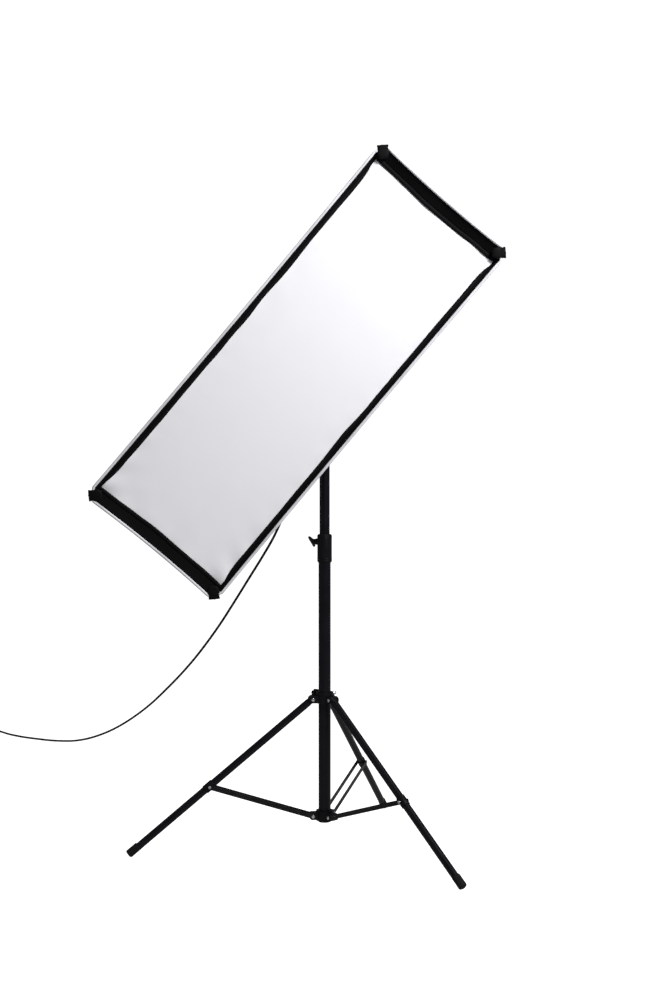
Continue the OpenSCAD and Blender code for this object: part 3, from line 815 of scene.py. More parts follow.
def aim(point, direction):
    """A matrix that carries +Z to the direction, at the point."""
    return Matrix.Translation(point) @ Vector(direction).to_track_quat("Z", "Y").to_matrix().to_4x4()


# ---------- the softbox's own shape ----------

def share_at(y):
    """How far from the back opening to the front edge, 0 to 1."""
    return (CLOTH_Y - y) / (CLOTH_Y - RIM_Y)


def half_u(t):
    return BACK_HALF + (RIM_U - BACK_HALF) * t


def half_v(t):
    return BACK_HALF + (RIM_V - BACK_HALF) * t


def bow(t):
    """The sprung rods' outward bow along their length."""
    return sizes().rod_bow * math.sin(math.pi * min(1, max(0, t)))


def pull(point, scale, seed):
    """A smooth wavering from -1 to 1, the same every time."""
    return noise.noise(Vector(point) * scale + Vector((seed, 0, 0)))


def rim_point(turn):
    """A point on the front edge. turn runs 0-4 round the four sides, from the corner (+u, +v)."""
    side = int(turn) % 4
    s = 1 - 2 * (turn - int(turn))
    dip = 1 - s * s
    u, v = RIM_U, RIM_V
    if side == 0:
        return Vector((s * u, RIM_Y, v - sizes().sag_long * dip))
    if side == 1:
        return Vector((-u + sizes().sag_short * dip, RIM_Y, s * v))
    if side == 2:
        return Vector((-s * u, RIM_Y, -v + sizes().sag_long * dip))
    return Vector((u - sizes().sag_short * dip, RIM_Y, -s * v))


CORNER_CUT = 0.0125 * math.sqrt(2)


def blunt(point):
    """Draws a point at a front corner back into the corner pocket."""
    over = CORNER_CUT - (RIM_U - abs(point.x)) - (RIM_V - abs(point.z))
    if over <= 0:
        return point
    return point - Vector((math.copysign(over / 2, point.x), 0, math.copysign(over / 2, point.z)))


def white_point(turn, wave=1.0):
    """A point on the edge of the white front, which wavers where it is fixed to the lip."""
    edge = rim_point(turn)
    t = share_at(WHITE_Y)
    u = edge.x / RIM_U * (half_u(t) - 0.0065)
    v = edge.z / RIM_V * (half_v(t) - 0.0045)
    ripple = wave * 0.0030 * pull((edge.x, 0, edge.z), 13, 3)
    inwards = Vector((-u, 0, -v)).normalized()
    return Vector((u, WHITE_Y, v)) + inwards * ripple


CLOTH_THICKNESS = 0.0008


def long_panel(sign):
    """The wide cloth panel on one long side."""
    def form(a, b):
        s = 2 * a - 1
        t = b
        edge = 1 - s * s
        u = s * (half_u(t) + bow(t))
        v = half_v(t) + bow(t) - sizes().panel_sag * edge * math.sin(math.pi * t) ** 0.8
        v -= sizes().sag_long * edge * t ** 3
        y = CLOTH_Y + (RIM_Y - CLOTH_Y) * t + 0.0015 * t
        fold = pull((s * 2.2, t * 0.7, sign), 3.1, 11) * sizes().wrinkle * 1.6
        fold += pull((s * 9, t * 1.4, sign), 2.0, 5) * sizes().wrinkle * 0.6
        fade = min(1, 8 * (1 - abs(s))) * min(1, 8 * t) * min(1, 5 * max(0, 0.94 - t))
        v += fold * fade
        return blunt(Vector((u, y, sign * v)))
    depth = RIM_V - BACK_HALF + abs(RIM_Y - CLOTH_Y)
    shape = cloth_grid(96, 40, 2 * RIM_U, depth, form)
    return facing(shape, Vector((0, (RIM_Y + CLOTH_Y) / 2, 0)))


def end_panel(sign):
    """The narrow cloth panel on one short side."""
    def form(a, b):
        s = 2 * a - 1
        t = b
        edge = 1 - s * s
        u = half_u(t) + bow(t) - sizes().panel_sag * 0.8 * edge * math.sin(math.pi * t) ** 0.8
        u -= sizes().sag_short * edge * t ** 3
        v = s * (half_v(t) + bow(t) - 0.001)
        y = CLOTH_Y + (RIM_Y - CLOTH_Y) * t + 0.0015 * t
        fold = pull((s * 1.4, t * 2.2, sign), 2.6, 21) * sizes().wrinkle * 1.5
        fade = min(1, 8 * (1 - abs(s))) * min(1, 8 * t) * min(1, 5 * max(0, 0.94 - t))
        return blunt(Vector((sign * (u + fold * fade), y, v)))
    depth = math.hypot(RIM_U - BACK_HALF, RIM_Y - CLOTH_Y)
    shape = cloth_grid(40, 64, 2 * RIM_V, depth, form)
    return facing(shape, Vector((0, (RIM_Y + CLOTH_Y) / 2, 0)))


def rod_point(su, sv, t, inset=0.0):
    """A point on the corner seam, or inset towards the axis."""
    return Vector((su * (half_u(t) + bow(t) - inset), CLOTH_Y + (RIM_Y - CLOTH_Y) * t,
                   sv * (half_v(t) + bow(t) - inset)))


CORNERS = [(su, sv) for su in (-1, 1) for sv in (-1, 1)]


class SOFTBOX_OT_cloth(bpy.types.Operator):
    """Makes the four cloth panels and their seams"""
    bl_idname = "softbox.cloth"
    bl_label = "Cloth panels"

    def execute(self, context):
        slant = math.hypot(RIM_U - BACK_HALF, RIM_Y - CLOTH_Y)
        cuts = {
            "panel_top": (long_panel(1), 2 * RIM_U, math.hypot(RIM_V - BACK_HALF, RIM_Y - CLOTH_Y)),
            "panel_bottom": (long_panel(-1), 2 * RIM_U, math.hypot(RIM_V - BACK_HALF, RIM_Y - CLOTH_Y)),
            "panel_right": (end_panel(1), 2 * RIM_V, slant),
            "panel_left": (end_panel(-1), 2 * RIM_V, slant),
        }
        for name, (shape, width, depth) in cuts.items():
            made = piece(name, shape, BOX, "shell_cloth", "silver_lining", tidy=False)
            thicken(made, CLOTH_THICKNESS, -1.0, 1)
            belongs(made, "softbox", "black_cloth", "shell_panels")
            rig.sheet(made, flat=(width, depth), held="stretched", rests_on=["rods"],
                     area=width * depth * (1 + BACK_HALF / (width / 2)) / 2)
        for k, (su, sv) in enumerate(CORNERS):
            path = [rod_point(su, sv, 0.95 * t / 24, -0.0005) for t in range(25)]
            seam = tube_along(path, 0.0024, 10)
            belongs(piece(f"seam_tape_{k + 1}", seam, BOX, "binding_tape"), "softbox", "black_cloth")
        return {"FINISHED"}


class SOFTBOX_OT_collar(bpy.types.Operator):
    """Makes the gathered cloth collar at the back, with its elastic hem"""
    bl_idname = "softbox.collar"
    bl_label = "Rear collar"

    def execute(self, context):
        inner = 0.0725
        back = reach("rear_collar", BOX, 1)[1]

        def form(a, b):
            turn = math.tau * a
            c, s = math.cos(turn), math.sin(turn)
            square = BACK_HALF / max(abs(c), abs(s))
            r = inner + (square - inner) * b
            pleat = 0.0011 * math.sin(28 * turn) * (1 - b) ** 1.5
            y = back - 0.0008 - 0.0012 * math.sin(math.pi * b) - abs(pleat)
            return Vector((r * c, y, r * s))
        shape = cloth_grid(224, 8, math.tau * inner, BACK_HALF - inner, form)
        bmesh.ops.remove_doubles(shape, verts=shape.verts, dist=1e-6)
        facing(shape, Vector((0, RIM_Y, 0)))
        made = piece("rear_collar_cloth", shape, BOX, "shell_cloth", tidy=False)
        thicken(made, CLOTH_THICKNESS)
        belongs(made, "softbox", "black_cloth", "rear_collar")
        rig.sheet(made, flat=(2 * BACK_HALF, 2 * BACK_HALF), held="gathered", rests_on=["speedring"],
                 area=4 * BACK_HALF ** 2 - math.pi * inner ** 2)
        hem = [Vector((math.cos(math.tau * k / 96) * (inner + 0.001), back - 0.0022,
                       math.sin(math.tau * k / 96) * (inner + 0.001))) for k in range(96)]
        elastic = tube_along(hem, 0.0018, 8, closed=True)
        belongs(piece("collar_elastic", elastic, BOX, "binding_tape"), "softbox", "black_cloth")
        return {"FINISHED"}


class SOFTBOX_OT_front(bpy.types.Operator):
    """Makes the light piping round the front, the black lip, the binding and the white front"""
    bl_idname = "softbox.front"
    bl_label = "White front and lip"

    def execute(self, context):
        self.piping()
        self.lip()
        self.white()
        return {"FINISHED"}

    def piping(self):
        path = [rim_point(4 * k / 320) for k in range(320)]
        path = [p for p in path if RIM_U - abs(p.x) + RIM_V - abs(p.z) > CORNER_CUT]
        shape = tube_along(path, PIPE_R * 1.06, 14, closed=True)
        made = piece("front_piping", shape, BOX, "grey_piping", smooth=60)
        belongs(made, "softbox", "grey_piping", "rim_piping")

    def lip(self):
        rounds = 480

        def form(a, b):
            outer = rim_point(4 * a)
            outer = blunt(outer + Vector((-outer.x / RIM_U, 0, -outer.z / RIM_V)) * 0.0024)
            inner = white_point(4 * a)
            point = outer.lerp(inner, b)
            fold = pull((outer.x, b * 0.05, outer.z), 24, 7) * sizes().wrinkle * math.sin(math.pi * b)
            bulge = 0.0016 * math.sin(math.pi * b)
            away = Vector((outer.x / RIM_U, 0, outer.z / RIM_V)).normalized()
            return point + away * (fold + bulge) - Vector((0, 0.0004 * b, 0))
        around = 4 * (RIM_U + RIM_V)
        shape = cloth_grid(rounds, 8, around, abs(WHITE_Y - RIM_Y), form)
        bmesh.ops.remove_doubles(shape, verts=shape.verts, dist=1e-6)
        facing(shape, Vector((0, RIM_Y - 0.4, 0)), outwards=False)
        made = piece("front_lip", shape, BOX, "black_cloth", tidy=False)
        thicken(made, 0.0006)
        belongs(made, "softbox", "black_cloth")
        deep_long, deep_short = ((rim_point(at) - white_point(at, 0)).length for at in (0.5, 1.5))
        deep = (deep_long * RIM_U + deep_short * RIM_V) / (RIM_U + RIM_V)
        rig.sheet(made, flat=(around, deep), held="stretched", rests_on=["front_piping"])

    def white(self):
        turns = 480
        width = sizes().binding

        def bound(a, b):
            edge = white_point(4 * a)
            inwards = Vector((-edge.x, 0, -edge.z)).normalized()
            side = 4 * a - int(4 * a)
            corner = min(side, 1 - side)
            straight = Vector((0, 0, -math.copysign(1, edge.z))) if int(4 * a) % 2 == 0 else \
                Vector((-math.copysign(1, edge.x), 0, 0))
            way = inwards.lerp(straight, min(1, corner * 12)).normalized()
            round_over = math.pi * (b - 0.1) / 0.9
            step = width * (0.5 - 0.5 * math.cos(max(0, round_over)))
            lift = 0.0022 * math.sin(max(0, round_over)) + 0.0003 + 0.0012 * (1 - b)
            return edge + way * (step - 0.002 * (1 - b)) + Vector((0, -lift, 0))
        shape = cloth_grid(turns, 10, 4 * (RIM_U + RIM_V), width, bound)
        bmesh.ops.remove_doubles(shape, verts=shape.verts, dist=1e-6)
        facing(shape, Vector((0, RIM_Y - 0.4, 0)), outwards=False)
        made = piece("front_binding", shape, BOX, "binding_tape", tidy=False)
        thicken(made, 0.0006)
        belongs(made, "softbox", "black_cloth")

        t = share_at(WHITE_Y)
        wide, tall = half_u(t) - 0.0085, half_v(t) - 0.0065

        def form(a, b):
            s, r = 2 * a - 1, 2 * b - 1
            u = s * (wide - sizes().sag_short * 0.9 * (1 - r * r) * abs(s) ** 6)
            v = r * (tall - sizes().sag_long * 0.9 * (1 - s * s) * abs(r) ** 6)
            near = max(abs(s) ** 10, abs(r) ** 6)
            fold = 0.0018 * near * pull((u, 0, v), 21, 2)
            corner = (abs(s) * abs(r)) ** 6
            fold += 0.0040 * corner * math.sin(90 * (abs(u) - wide) - 60 * (abs(v) - tall))
            crown = 0.0014 * (1 - s ** 4) * (1 - r ** 4)
            return Vector((u, WHITE_Y + 0.0004 + crown + fold, v))
        shape = cloth_grid(200, 72, 2 * wide, 2 * tall, form)
        facing(shape, Vector((0, 0, 0)))
        made = piece("white_front", shape, BOX, "white_diffuser", tidy=False)
        thicken(made, 0.0005)
        belongs(made, "softbox", "white_diffuser", "diffuser")
        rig.sheet(made, flat=(2 * wide, 2 * tall), held="stretched", rests_on=["front_lip"],
                 with_pieces=["front_binding"])


def rounded_section(centre, along, flat, half_along, half_flat, points=24):
    """A ring shaped like a rounded bar's end: long along one way and thin along the other."""
    ring = []
    for k in range(points):
        a = math.tau * k / points
        c, s = math.cos(a), math.sin(a)
        ring.append(centre + along * half_along * math.copysign(abs(c) ** 0.55, c)
                    + flat * half_flat * math.copysign(abs(s) ** 0.55, s))
    return ring


class SOFTBOX_OT_pockets(bpy.types.Operator):
    """Makes the four black corner pockets that the rods push into"""
    bl_idname = "softbox.pockets"
    bl_label = "Corner pockets"

    def execute(self, context):
        for k, (su, sv) in enumerate(CORNERS):
            self.pocket(k + 1, su, sv)
        return {"FINISHED"}

    def pocket(self, number, su, sv):
        out = Vector((su, 0, sv)).normalized()
        across = Vector((-sv, 0, su)).normalized()
        flat = Vector((0, 1, 0))
        corner = Vector((su * RIM_OUT_U, RIM_Y + 0.001, sv * RIM_OUT_V))
        end = sizes().pocket / 2
        stations = [
            (-0.0095, end * 1.02, 0.0034), (-0.0100, end * 1.10, 0.0048), (-0.0125, end * 1.06, 0.0056),
            (-0.0155, end * 0.98, 0.0058), (-0.0200, end * 1.04, 0.0060), (-0.0250, end * 1.12, 0.0062),
            (-0.0300, end * 1.10, 0.0062), (-0.0340, end * 0.96, 0.0060), (-0.0370, end * 0.78, 0.0054),
            (-0.0390, end * 0.60, 0.0046), (-0.0396, end * 0.50, 0.0034),
        ]
        rings = [rounded_section(corner + out * d, across, flat, w, h) for d, w, h in stations]
        shape = loft(rings)
        made = piece(f"corner_pocket_{number}", shape, BOX, "binding_tape", smooth=60)
        subdivide(made, 1)
        belongs(made, "softbox", "black_cloth", "corner_caps")
        ribs = bmesh.new()
        for step, wide in ((-0.0135, 0.94), (-0.0185, 0.98)):
            line = [corner + out * step + across * end * wide * j / 10 + flat * -0.0058
                    for j in range(-10, 11)]
            add_tube(ribs, line, 0.0005)
        belongs(piece(f"pocket_stitching_{number}", ribs, BOX, "black_cloth"), "softbox", "black_cloth")


def add_tube(whole, path, radius, sides=6, closed=False):
    """Adds a thin bar along the path to a bmesh."""
    part = tube_along(path, radius, sides, closed)
    mesh = bpy.data.meshes.new("part")
    part.to_mesh(mesh)
    part.free()
    whole.from_mesh(mesh)
    bpy.data.meshes.remove(mesh)


def subdivide(made, levels):
    soft = made.modifiers.new("rounding", "SUBSURF")
    soft.levels = levels
    soft.render_levels = levels
    return made


class SOFTBOX_OT_inside(bpy.types.Operator):
    """Makes the sprung rods and the inner baffle with its elastic ties"""
    bl_idname = "softbox.inside"
    bl_label = "Rods and baffle"

    def execute(self, context):
        ring_y = reach("speedring", BOX, 1)[0]
        rods = bmesh.new()
        for su, sv in CORNERS:
            start = Vector((su * 0.052, ring_y + 0.004, sv * 0.052))
            start += Vector((su * 0.432, -0.235, sv * 0.116)).normalized() * 0.004
            path = [start] + [rod_point(su, sv, t / 20, 0.0065 - 0.0025 * (t > 17)) for t in range(4, 21)]
            add_tube(rods, spline(path, 2), 0.0025, 10)
        made = piece("sprung_rods", rods, BOX, "bright_steel")
        belongs(made, "softbox", "bright_steel", "rods")

        t = share_at(BAFFLE_Y)
        wide, tall = half_u(t) - 0.06, half_v(t) - 0.04

        def form(a, b):
            s, r = 2 * a - 1, 2 * b - 1
            u = s * (wide - 0.012 * (1 - r * r) * abs(s) ** 4)
            v = r * (tall - 0.012 * (1 - s * s) * abs(r) ** 4)
            return Vector((u, BAFFLE_Y + 0.002 * pull((u, 0, v), 9, 4), v))
        shape = facing(cloth_grid(48, 20, 2 * wide, 2 * tall, form), Vector((0, 0, 0)))
        baffle = piece("inner_baffle_cloth", shape, BOX, "white_diffuser", tidy=False)
        thicken(baffle, 0.0006)
        belongs(baffle, "softbox", "white_diffuser", "inner_baffle")
        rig.sheet(baffle, flat=(2 * wide, 2 * tall), held="stretched", rests_on=["baffle_ties"])
        ties = bmesh.new()
        for su, sv in CORNERS:
            corner = Vector((su * (wide - 0.002), BAFFLE_Y, sv * (tall - 0.002)))
            anchor = rod_point(su, sv, t, 0.0095)
            add_tube(ties, [corner.lerp(anchor, k / 6) for k in range(7)], 0.0016, 8)
        belongs(piece("baffle_ties", ties, BOX, "binding_tape"), "softbox", "black_cloth")
        return {"FINISHED"}


# ---------- the lead ----------

def coil_path(turns, radius, spread, start_angle, end_angle, low, high):
    """Two layers of turns: in along the floor, then out again on top."""
    path = []
    steps = 40
    inner, outer = radius - spread / 2, radius + spread / 2
    last = turns * steps
    for k in range(last + 1):
        r = outer + (inner - outer) * k / last
        angle = start_angle + math.tau * k / steps
        path.append(COIL_AT + Vector((r * math.cos(angle), r * math.sin(angle), low)))
    more = last + round(steps * (end_angle - start_angle) / math.tau)
    for k in range(1, more + 1):
        r = inner + (outer - inner) * min(1, k / last)
        angle = start_angle + math.tau * (turns * steps + k) / steps
        climb = min(1, k / (steps / 6))
        z = low + (high - low) * climb * climb * (3 - 2 * climb)
        path.append(COIL_AT + Vector((r * math.cos(angle), r * math.sin(angle), z)))
    return path


def length_of(path):
    return sum((b - a).length for a, b in zip(path, path[1:]))


class SOFTBOX_OT_lead(bpy.types.Operator):
    """Makes the mains lead, in the stretches that bend with the pan, the tilt and the mast"""
    bl_idname = "softbox.lead"
    bl_label = "Mains lead"

    def execute(self, context):
        radius = sizes().lead / 2
        whole = spline(LEAD_ROUTE, 6)
        tail, upper = whole[:PAN_AT * 6 + 1], whole[PAN_AT * 6:MAST_AT * 6 + 1]
        joins = [
            ("lead_tail", tail, "head", "bracket", "cord_tail"),
            ("lead_upper", upper, "bracket", "mast", "cord_upper"),
        ]
        for name, path, above, below, node_name in joins:
            made = piece(name, tube_along(path, radius, 16), Matrix(), "lead_sheath", smooth=60)
            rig.slot(made, "lead_sheath")
            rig.replaces(made, node_name)
            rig.blend(made, above, below, start=path[0], end=path[-1])
            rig.cord(made, exit=path[0], length=round(length_of(path), 3), diameter=sizes().lead,
                    far_end="object", stiffness="medium", lay="hanging", path=path)
        self.main(radius, whole[MAST_AT * 6:])
        return {"FINISHED"}

    def main(self, radius, drop):
        end_angle = math.atan2(PLUG_ROUTE[0][1] - COIL_AT.y, PLUG_ROUTE[0][0] - COIL_AT.x)
        turns = sizes().turns
        coil = coil_path(turns, COIL_R, turns * sizes().lead, COIL_ENTRY, end_angle, *LAYER_HEIGHTS)
        path = drop + coil[:-1] + spline(PLUG_ROUTE, 6)
        made = piece("lead_drop", tube_along(path, radius, 12), Matrix(), "lead_sheath", smooth=60)
        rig.slot(made, "lead_sheath")
        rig.replaces(made, "cord_drop", "cord_coil")
        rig.blend(made, "mast", "column", start=drop[0], end=LEAD_ROUTE[FLOOR_AT])
        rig.cord(made, exit=path[0], length=round(length_of(path), 2), diameter=sizes().lead,
                far_end="plug", stiffness="medium", lay="loose", path=path,
                with_pieces=["mains_plug_eased", "coil_tie"])


class SOFTBOX_OT_lead_ends(bpy.types.Operator):
    """Makes the plug, the connector and the tie round the coil"""
    bl_idname = "softbox.lead_ends"
    bl_label = "Lead ends"

    def execute(self, context):
        rounded_copy("mains_plug", 0.0012, 3)
        rounded_copy("lead_connector", 0.001, 3)
        way = Vector((math.cos(2.6), math.sin(2.6), 0))
        middle = COIL_AT + way * COIL_R + Vector((0, 0, 0.0073))
        ring = []
        for k in range(40):
            a = math.tau * k / 40
            across = 0.0148 * math.copysign(abs(math.cos(a)) ** 0.6, math.cos(a))
            up = 0.0073 * math.copysign(abs(math.sin(a)) ** 0.6, math.sin(a))
            ring.append((across, up))
        rings = []
        side = Vector((-way.y, way.x, 0))
        for half, swell in ((-0.006, 1.0), (-0.0058, 1.03), (0.0058, 1.03), (0.006, 1.0)):
            rings.append([middle + side * half + way * (x * swell) + Vector((0, 0, z * min(swell, 1.0)))
                          for x, z in ring])
        made = piece("coil_tie", loft(rings, capped=False), Matrix(), "hook_tape")
        belongs(made, "column", "lead_sheath")
        return {"FINISHED"}


# ---------- the stand ----------

class SOFTBOX_OT_stand(bpy.types.Operator):
    """Eases the stand's clamps, collars and legs, and adds their small fittings"""
    bl_idname = "softbox.stand"
    bl_label = "Stand"

    def execute(self, context):
        for name in ("spreader_collar", "column_clamp", "leg_collar", "clamp_knob", "leg_collar_knob"):
            rounded_copy(name, 0.0009, 3)
        for name in ("spreader_pins", "leg_collar_pins", "column_plug", "mast_bushes", "spigot"):
            rounded_copy(name, 0.0004)
        for letter in LEGS:
            rounded_copy("leg_end_" + letter, 0.0006)
            rounded_copy("brace_" + letter, 0.0004)
            self.foot(letter)
            self.rivets(letter)
        self.clamp_grip()
        return {"FINISHED"}

    def foot(self, letter):
        """A rubber cap with grip rings, cut flat where it stands."""
        place = leg_place(letter)
        bottom, top = reach("leg_foot_" + letter, place, 2)
        outer = reach("leg_foot_" + letter, place, 1)[1]
        profile = [(outer - 0.0013, top), (outer - 0.0004, top - 0.0004), (outer, top - 0.0014)]
        for k in range(4):
            z = top - 0.004 - 0.0042 * k
            profile += [(outer, z + 0.0008), (outer - 0.0008, z), (outer, z - 0.0008)]
        profile += [(outer, bottom + 0.003), (outer - 0.0008, bottom + 0.001), (outer - 0.002, bottom)]
        shape = bmesh.new()
        verts = [shape.verts.new((r, 0, z)) for r, z in profile]
        verts.append(shape.verts.new((0, 0, bottom)))
        edges = [shape.edges.new(pair) for pair in zip(verts, verts[1:])]
        bmesh.ops.spin(shape, geom=verts + edges, cent=(0, 0, 0), axis=(0, 0, 1), dvec=(0, 0, 0),
                       angle=math.tau, steps=40, use_merge=True)
        bmesh.ops.remove_doubles(shape, verts=shape.verts, dist=1e-6)
        bmesh.ops.transform(shape, matrix=place, verts=shape.verts)
        cut = bmesh.ops.bisect_plane(shape, geom=shape.verts[:] + shape.edges[:] + shape.faces[:],
                                     plane_co=(0, 0, 0.0001), plane_no=(0, 0, -1), clear_outer=True)
        bmesh.ops.holes_fill(shape, edges=[e for e in cut["geom_cut"] if isinstance(e, bmesh.types.BMEdge)])
        rim = [e for e in shape.edges if e.is_boundary]
        inner = bmesh.ops.extrude_edge_only(shape, edges=rim)["geom"]
        sunk = [v for v in inner if isinstance(v, bmesh.types.BMVert)]
        centre = place @ Vector((0, 0, top - 0.0002))
        for vert in sunk:
            vert.co = centre + (vert.co - centre) * 0.93
        made = piece("rubber_foot_" + letter, shape, Matrix(), "rubber_feet", smooth=35)
        belongs(made, "leg_" + letter, "rubber_feet", "leg_foot_" + letter)

    def rivets(self, letter):
        """Domed rivet heads on both sides of a brace's straps, at its upper end."""
        place = brace_place(letter)
        side = reach("brace_" + letter, place, 1)[1]
        top = reach("brace_" + letter, place, 2)[1] - 0.0055
        heads = [aim(Vector((0, s * side, top)), (0, s, 0)) for s in (-1, 1)]
        shape = copies(screw_head(0.0036, 0.0016), [place @ head for head in heads])
        made = piece("brace_rivets_" + letter, shape, Matrix(), "bright_steel", smooth=45)
        belongs(made, "brace_" + letter, "bright_steel")

    def clamp_grip(self):
        """Raised ribs round both ends of the tube clamp."""
        radius = 0.018
        low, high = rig.box("column_clamp")
        ribs = bmesh.new()
        for z in (low[2] + 0.006, low[2] + 0.0095, high[2] - 0.0095, high[2] - 0.006):
            angles = [math.tau * k / 64 for k in range(64)]
            loop = [Vector((radius * math.cos(a), radius * math.sin(a), z)) for a in angles]
            add_tube(ribs, loop, 0.0006, closed=True)
        made = piece("clamp_ribs", ribs, Matrix(), "moulded_black")
        belongs(made, "column", "moulded_black")


class SOFTBOX_OT_tubes(bpy.types.Operator):
    """Gives the CAD nodes that stay their finish, and eases the bracket"""
    bl_idname = "softbox.tubes"
    bl_label = "Tubes and bracket"

    def execute(self, context):
        for name in ("bracket_socket", "bracket_arm", "tilt_lever", "spigot_knob"):
            rounded_copy(name, 0.0010, 3)
        for name in ("bracket_bolts", "pivot_bolt", "ring_lock", "bayonet_insert"):
            rounded_copy(name, 0.0004)
        rounded_copy("speedring", 0.0007)
        slots = {s["node"]: s["material_slot"] for s in frame["record"]["subparts"]}
        for name, cad in frame["nodes"].items():
            cad.data.materials.clear()
            cad.data.materials.append(finish(slots[name]))
        return {"FINISHED"}


class SOFTBOX_OT_head(bpy.types.Operator):
    """Eases the lamp head's casing and adds its screws, dial marks and grip"""
    bl_idname = "softbox.head"
    bl_label = "Lamp head"

    def execute(self, context):
        for name in ("left_shell", "right_shell", "front_bezel", "rear_panel", "handle",
                     "power_inlet", "dimmer_knob", "power_switch", "test_button"):
            rounded_copy(name, 0.0008)
        self.screws()
        self.dial()
        self.grip()
        return {"FINISHED"}

    def screws(self):
        back = reach("rear_panel", HEAD, 1)[1]
        wide = reach("rear_panel", HEAD, 0)[1] - 0.009
        tall = reach("rear_panel", HEAD, 2)[1] - 0.009
        places = [aim(Vector((x * wide, back, z * tall)), (0, 1, 0)) for x in (-1, 1) for z in (-1, 1)]
        shape = copies(screw_head(0.0036, 0.0018), places)
        made = piece("casing_screws", shape, HEAD, "bright_steel")
        belongs(made, "head", "bright_steel")

    def dial(self):
        """Raised tick marks round the dimmer knob."""
        knob = HEAD.inverted() @ place_of("dimmer_turn")
        back = reach("rear_panel", HEAD, 1)[1]
        ticks = bmesh.new()
        for k in range(11):
            a = math.radians(-135 + 27 * k)
            way = Vector((math.sin(a), 0, math.cos(a)))
            middle = Vector((knob.x, back + 0.0002, knob.z))
            size = 0.0030 if k % 5 == 0 else 0.0018
            add_tube(ticks, [middle + way * 0.0155, middle + way * (0.0155 + size)], 0.0005)
        made = piece("dial_marks", ticks, HEAD, "button_grey")
        belongs(made, "head", "button_grey")

    def grip(self):
        """A ribbed rubber sleeve on the handle's bar."""
        low, high = reach("handle", HEAD, 1)
        top = reach("handle", HEAD, 2)[1]
        half = reach("handle", HEAD, 0)[1]
        rings = []
        count = 41
        for k in range(count):
            y = low + 0.012 + (high - low - 0.024) * k / (count - 1)
            swell = 0.0012 + (0.0009 if k % 4 < 2 else 0.0)
            if k in (0, count - 1):
                swell = 0.0003
            rings.append(rounded_section(Vector((0, y, top - 0.006)), Vector((1, 0, 0)), Vector((0, 0, 1)),
                                         half + swell, 0.006 + swell))
        made = piece("handle_grip", loft(rings), HEAD, "rubber_feet", smooth=25)
        belongs(made, "head", "moulded_black")


# ---------- the stage ----------

def area_light(name, place, target, size, power):
    """A soft light at a place, turned towards its target."""
    data = bpy.data.lights.new(name, "AREA")
    data.shape = "RECTANGLE"
    data.size, data.size_y = size
    data.energy = power
    light = bpy.data.objects.new(name, data)
    bpy.context.scene.collection.objects.link(light)
    light.location = place
    light.rotation_euler = (Vector(target) - Vector(place)).to_track_quat("-Z", "Y").to_euler()


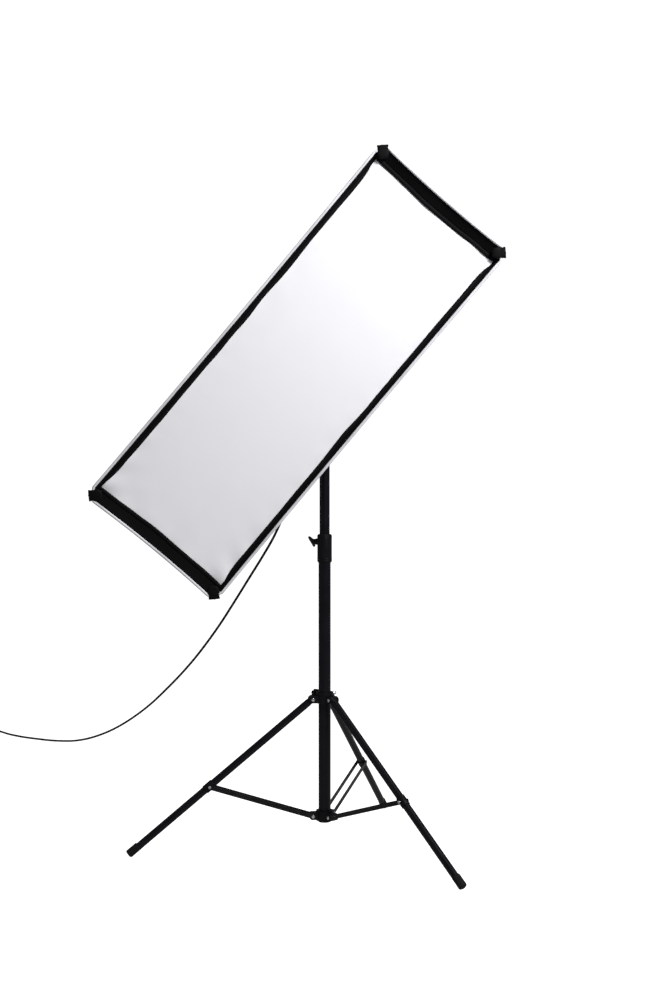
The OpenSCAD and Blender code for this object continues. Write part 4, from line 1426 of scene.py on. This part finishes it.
class SOFTBOX_OT_stage(bpy.types.Operator):
    """Makes the camera, the pale floor and the soft studio light"""
    bl_idname = "softbox.stage"
    bl_label = "Stage"

    def execute(self, context):
        scene = context.scene
        data = bpy.data.cameras.new("camera")
        data.lens = 50
        data.sensor_width = 36
        data.clip_end = 200
        camera = bpy.data.objects.new("camera", data)
        scene.collection.objects.link(camera)
        camera.location = (0.022, -3.43, 0.86)
        camera.rotation_euler = (math.radians(90), 0, 0)
        scene.camera = camera
        scene.view_settings.view_transform = "Standard"
        self.floor(scene)
        self.world(scene)
        area_light("key", (1.35, -1.65, 2.45), (0.05, -0.3, 1.3), (0.6, 0.6), 71)
        area_light("overhead", (0.0, 0.2, 4.0), (0, 0.2, 0), (3.0, 3.0), 26)
        area_light("side", (-2.2, -0.9, 1.4), (0, 0, 0.7), (0.25, 1.8), 2)
        return {"FINISHED"}

    def floor(self, scene):
        shape = bmesh.new()
        bmesh.ops.create_grid(shape, x_segments=4, y_segments=4, size=40)
        mesh = bpy.data.meshes.new("floor")
        shape.to_mesh(mesh)
        shape.free()
        made = bpy.data.objects.new("floor", mesh)
        scene.collection.objects.link(made)
        coat, tree, shader = blank("pale_floor", 1.0, Emission_Color=(1, 1, 1, 1), Specular_IOR_Level=0.0)
        # Shown brighter than it shines, so that it is white without lighting the object from below.
        seen = node(tree, "ShaderNodeLightPath").outputs["Is Camera Ray"]
        glow = blend_values(tree, blend_values(tree, seen, 0.98, "MULTIPLY"), 0.14)
        wire_up(tree, shader, Emission_Strength=glow)
        cloud = grain(tree, object_space(tree), 1.5, 3)
        wire_up(tree, shader, Base_Color=ramp(tree, cloud, [(0.2, grey(0.42)), (0.8, grey(0.44))]))
        mesh.materials.append(coat)
        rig.stage(made)

    def world(self, scene):
        world = bpy.data.worlds.new("studio")
        scene.world = world
        world.use_nodes = True
        tree = world.node_tree
        seen = node(tree, "ShaderNodeBackground", Color=(1, 1, 1, 1), Strength=1.1)
        lit = tree.nodes["Background"]
        lit.inputs["Color"].default_value = (0.95, 0.97, 1, 1)
        lit.inputs["Strength"].default_value = 0.14
        rays = node(tree, "ShaderNodeLightPath")
        mix = tree.nodes.new("ShaderNodeMixShader")
        tree.links.new(rays.outputs["Is Camera Ray"], mix.inputs[0])
        tree.links.new(lit.outputs[0], mix.inputs[1])
        tree.links.new(seen.outputs[0], mix.inputs[2])
        tree.links.new(mix.outputs[0], tree.nodes["World Output"].inputs["Surface"])


class SOFTBOX_PT_panel(bpy.types.Panel):
    """Lists the softbox's parts"""
    bl_idname = "SOFTBOX_PT_panel"
    bl_label = "Strip softbox"
    bl_space_type = "VIEW_3D"
    bl_region_type = "UI"
    bl_category = "Softbox"

    def draw(self, context):
        for settings in (context.scene.softbox_sizes, context.scene.softbox_colours):
            for name in settings.__annotations__:
                self.layout.prop(settings, name)
        for operator in OPERATORS:
            self.layout.operator(operator.bl_idname)


OPERATORS = [
    SOFTBOX_OT_stage, SOFTBOX_OT_lead_ends, SOFTBOX_OT_lead, SOFTBOX_OT_cloth, SOFTBOX_OT_collar,
    SOFTBOX_OT_front, SOFTBOX_OT_pockets, SOFTBOX_OT_inside, SOFTBOX_OT_stand, SOFTBOX_OT_tubes,
    SOFTBOX_OT_head,
]
CLASSES = [SoftboxSizes, SoftboxColours, *OPERATORS, SOFTBOX_PT_panel]


def register():
    for each in CLASSES:
        bpy.utils.register_class(each)
    bpy.types.Scene.softbox_sizes = bpy.props.PointerProperty(type=SoftboxSizes)
    bpy.types.Scene.softbox_colours = bpy.props.PointerProperty(type=SoftboxColours)


def unregister():
    del bpy.types.Scene.softbox_sizes
    del bpy.types.Scene.softbox_colours
    for each in reversed(CLASSES):
        bpy.utils.unregister_class(each)


def write_sizes():
    """The CAD model's box and the visual model's box, as plain lists."""
    boxes = {"cad": CAD_BOX, "visual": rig.bounds()}
    with open("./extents.json", "w") as out:
        json.dump({name: [list(corner) for corner in box] for name, box in boxes.items()}, out)


def main():
    register()
    bpy.ops.softbox.stage()
    bpy.ops.softbox.lead_ends()
    bpy.ops.softbox.lead()
    bpy.ops.softbox.cloth()
    bpy.ops.softbox.collar()
    bpy.ops.softbox.front()
    bpy.ops.softbox.pockets()
    bpy.ops.softbox.inside()
    bpy.ops.softbox.stand()
    bpy.ops.softbox.tubes()
    bpy.ops.softbox.head()
    write_sizes()


if __name__ == "__main__":
    main()
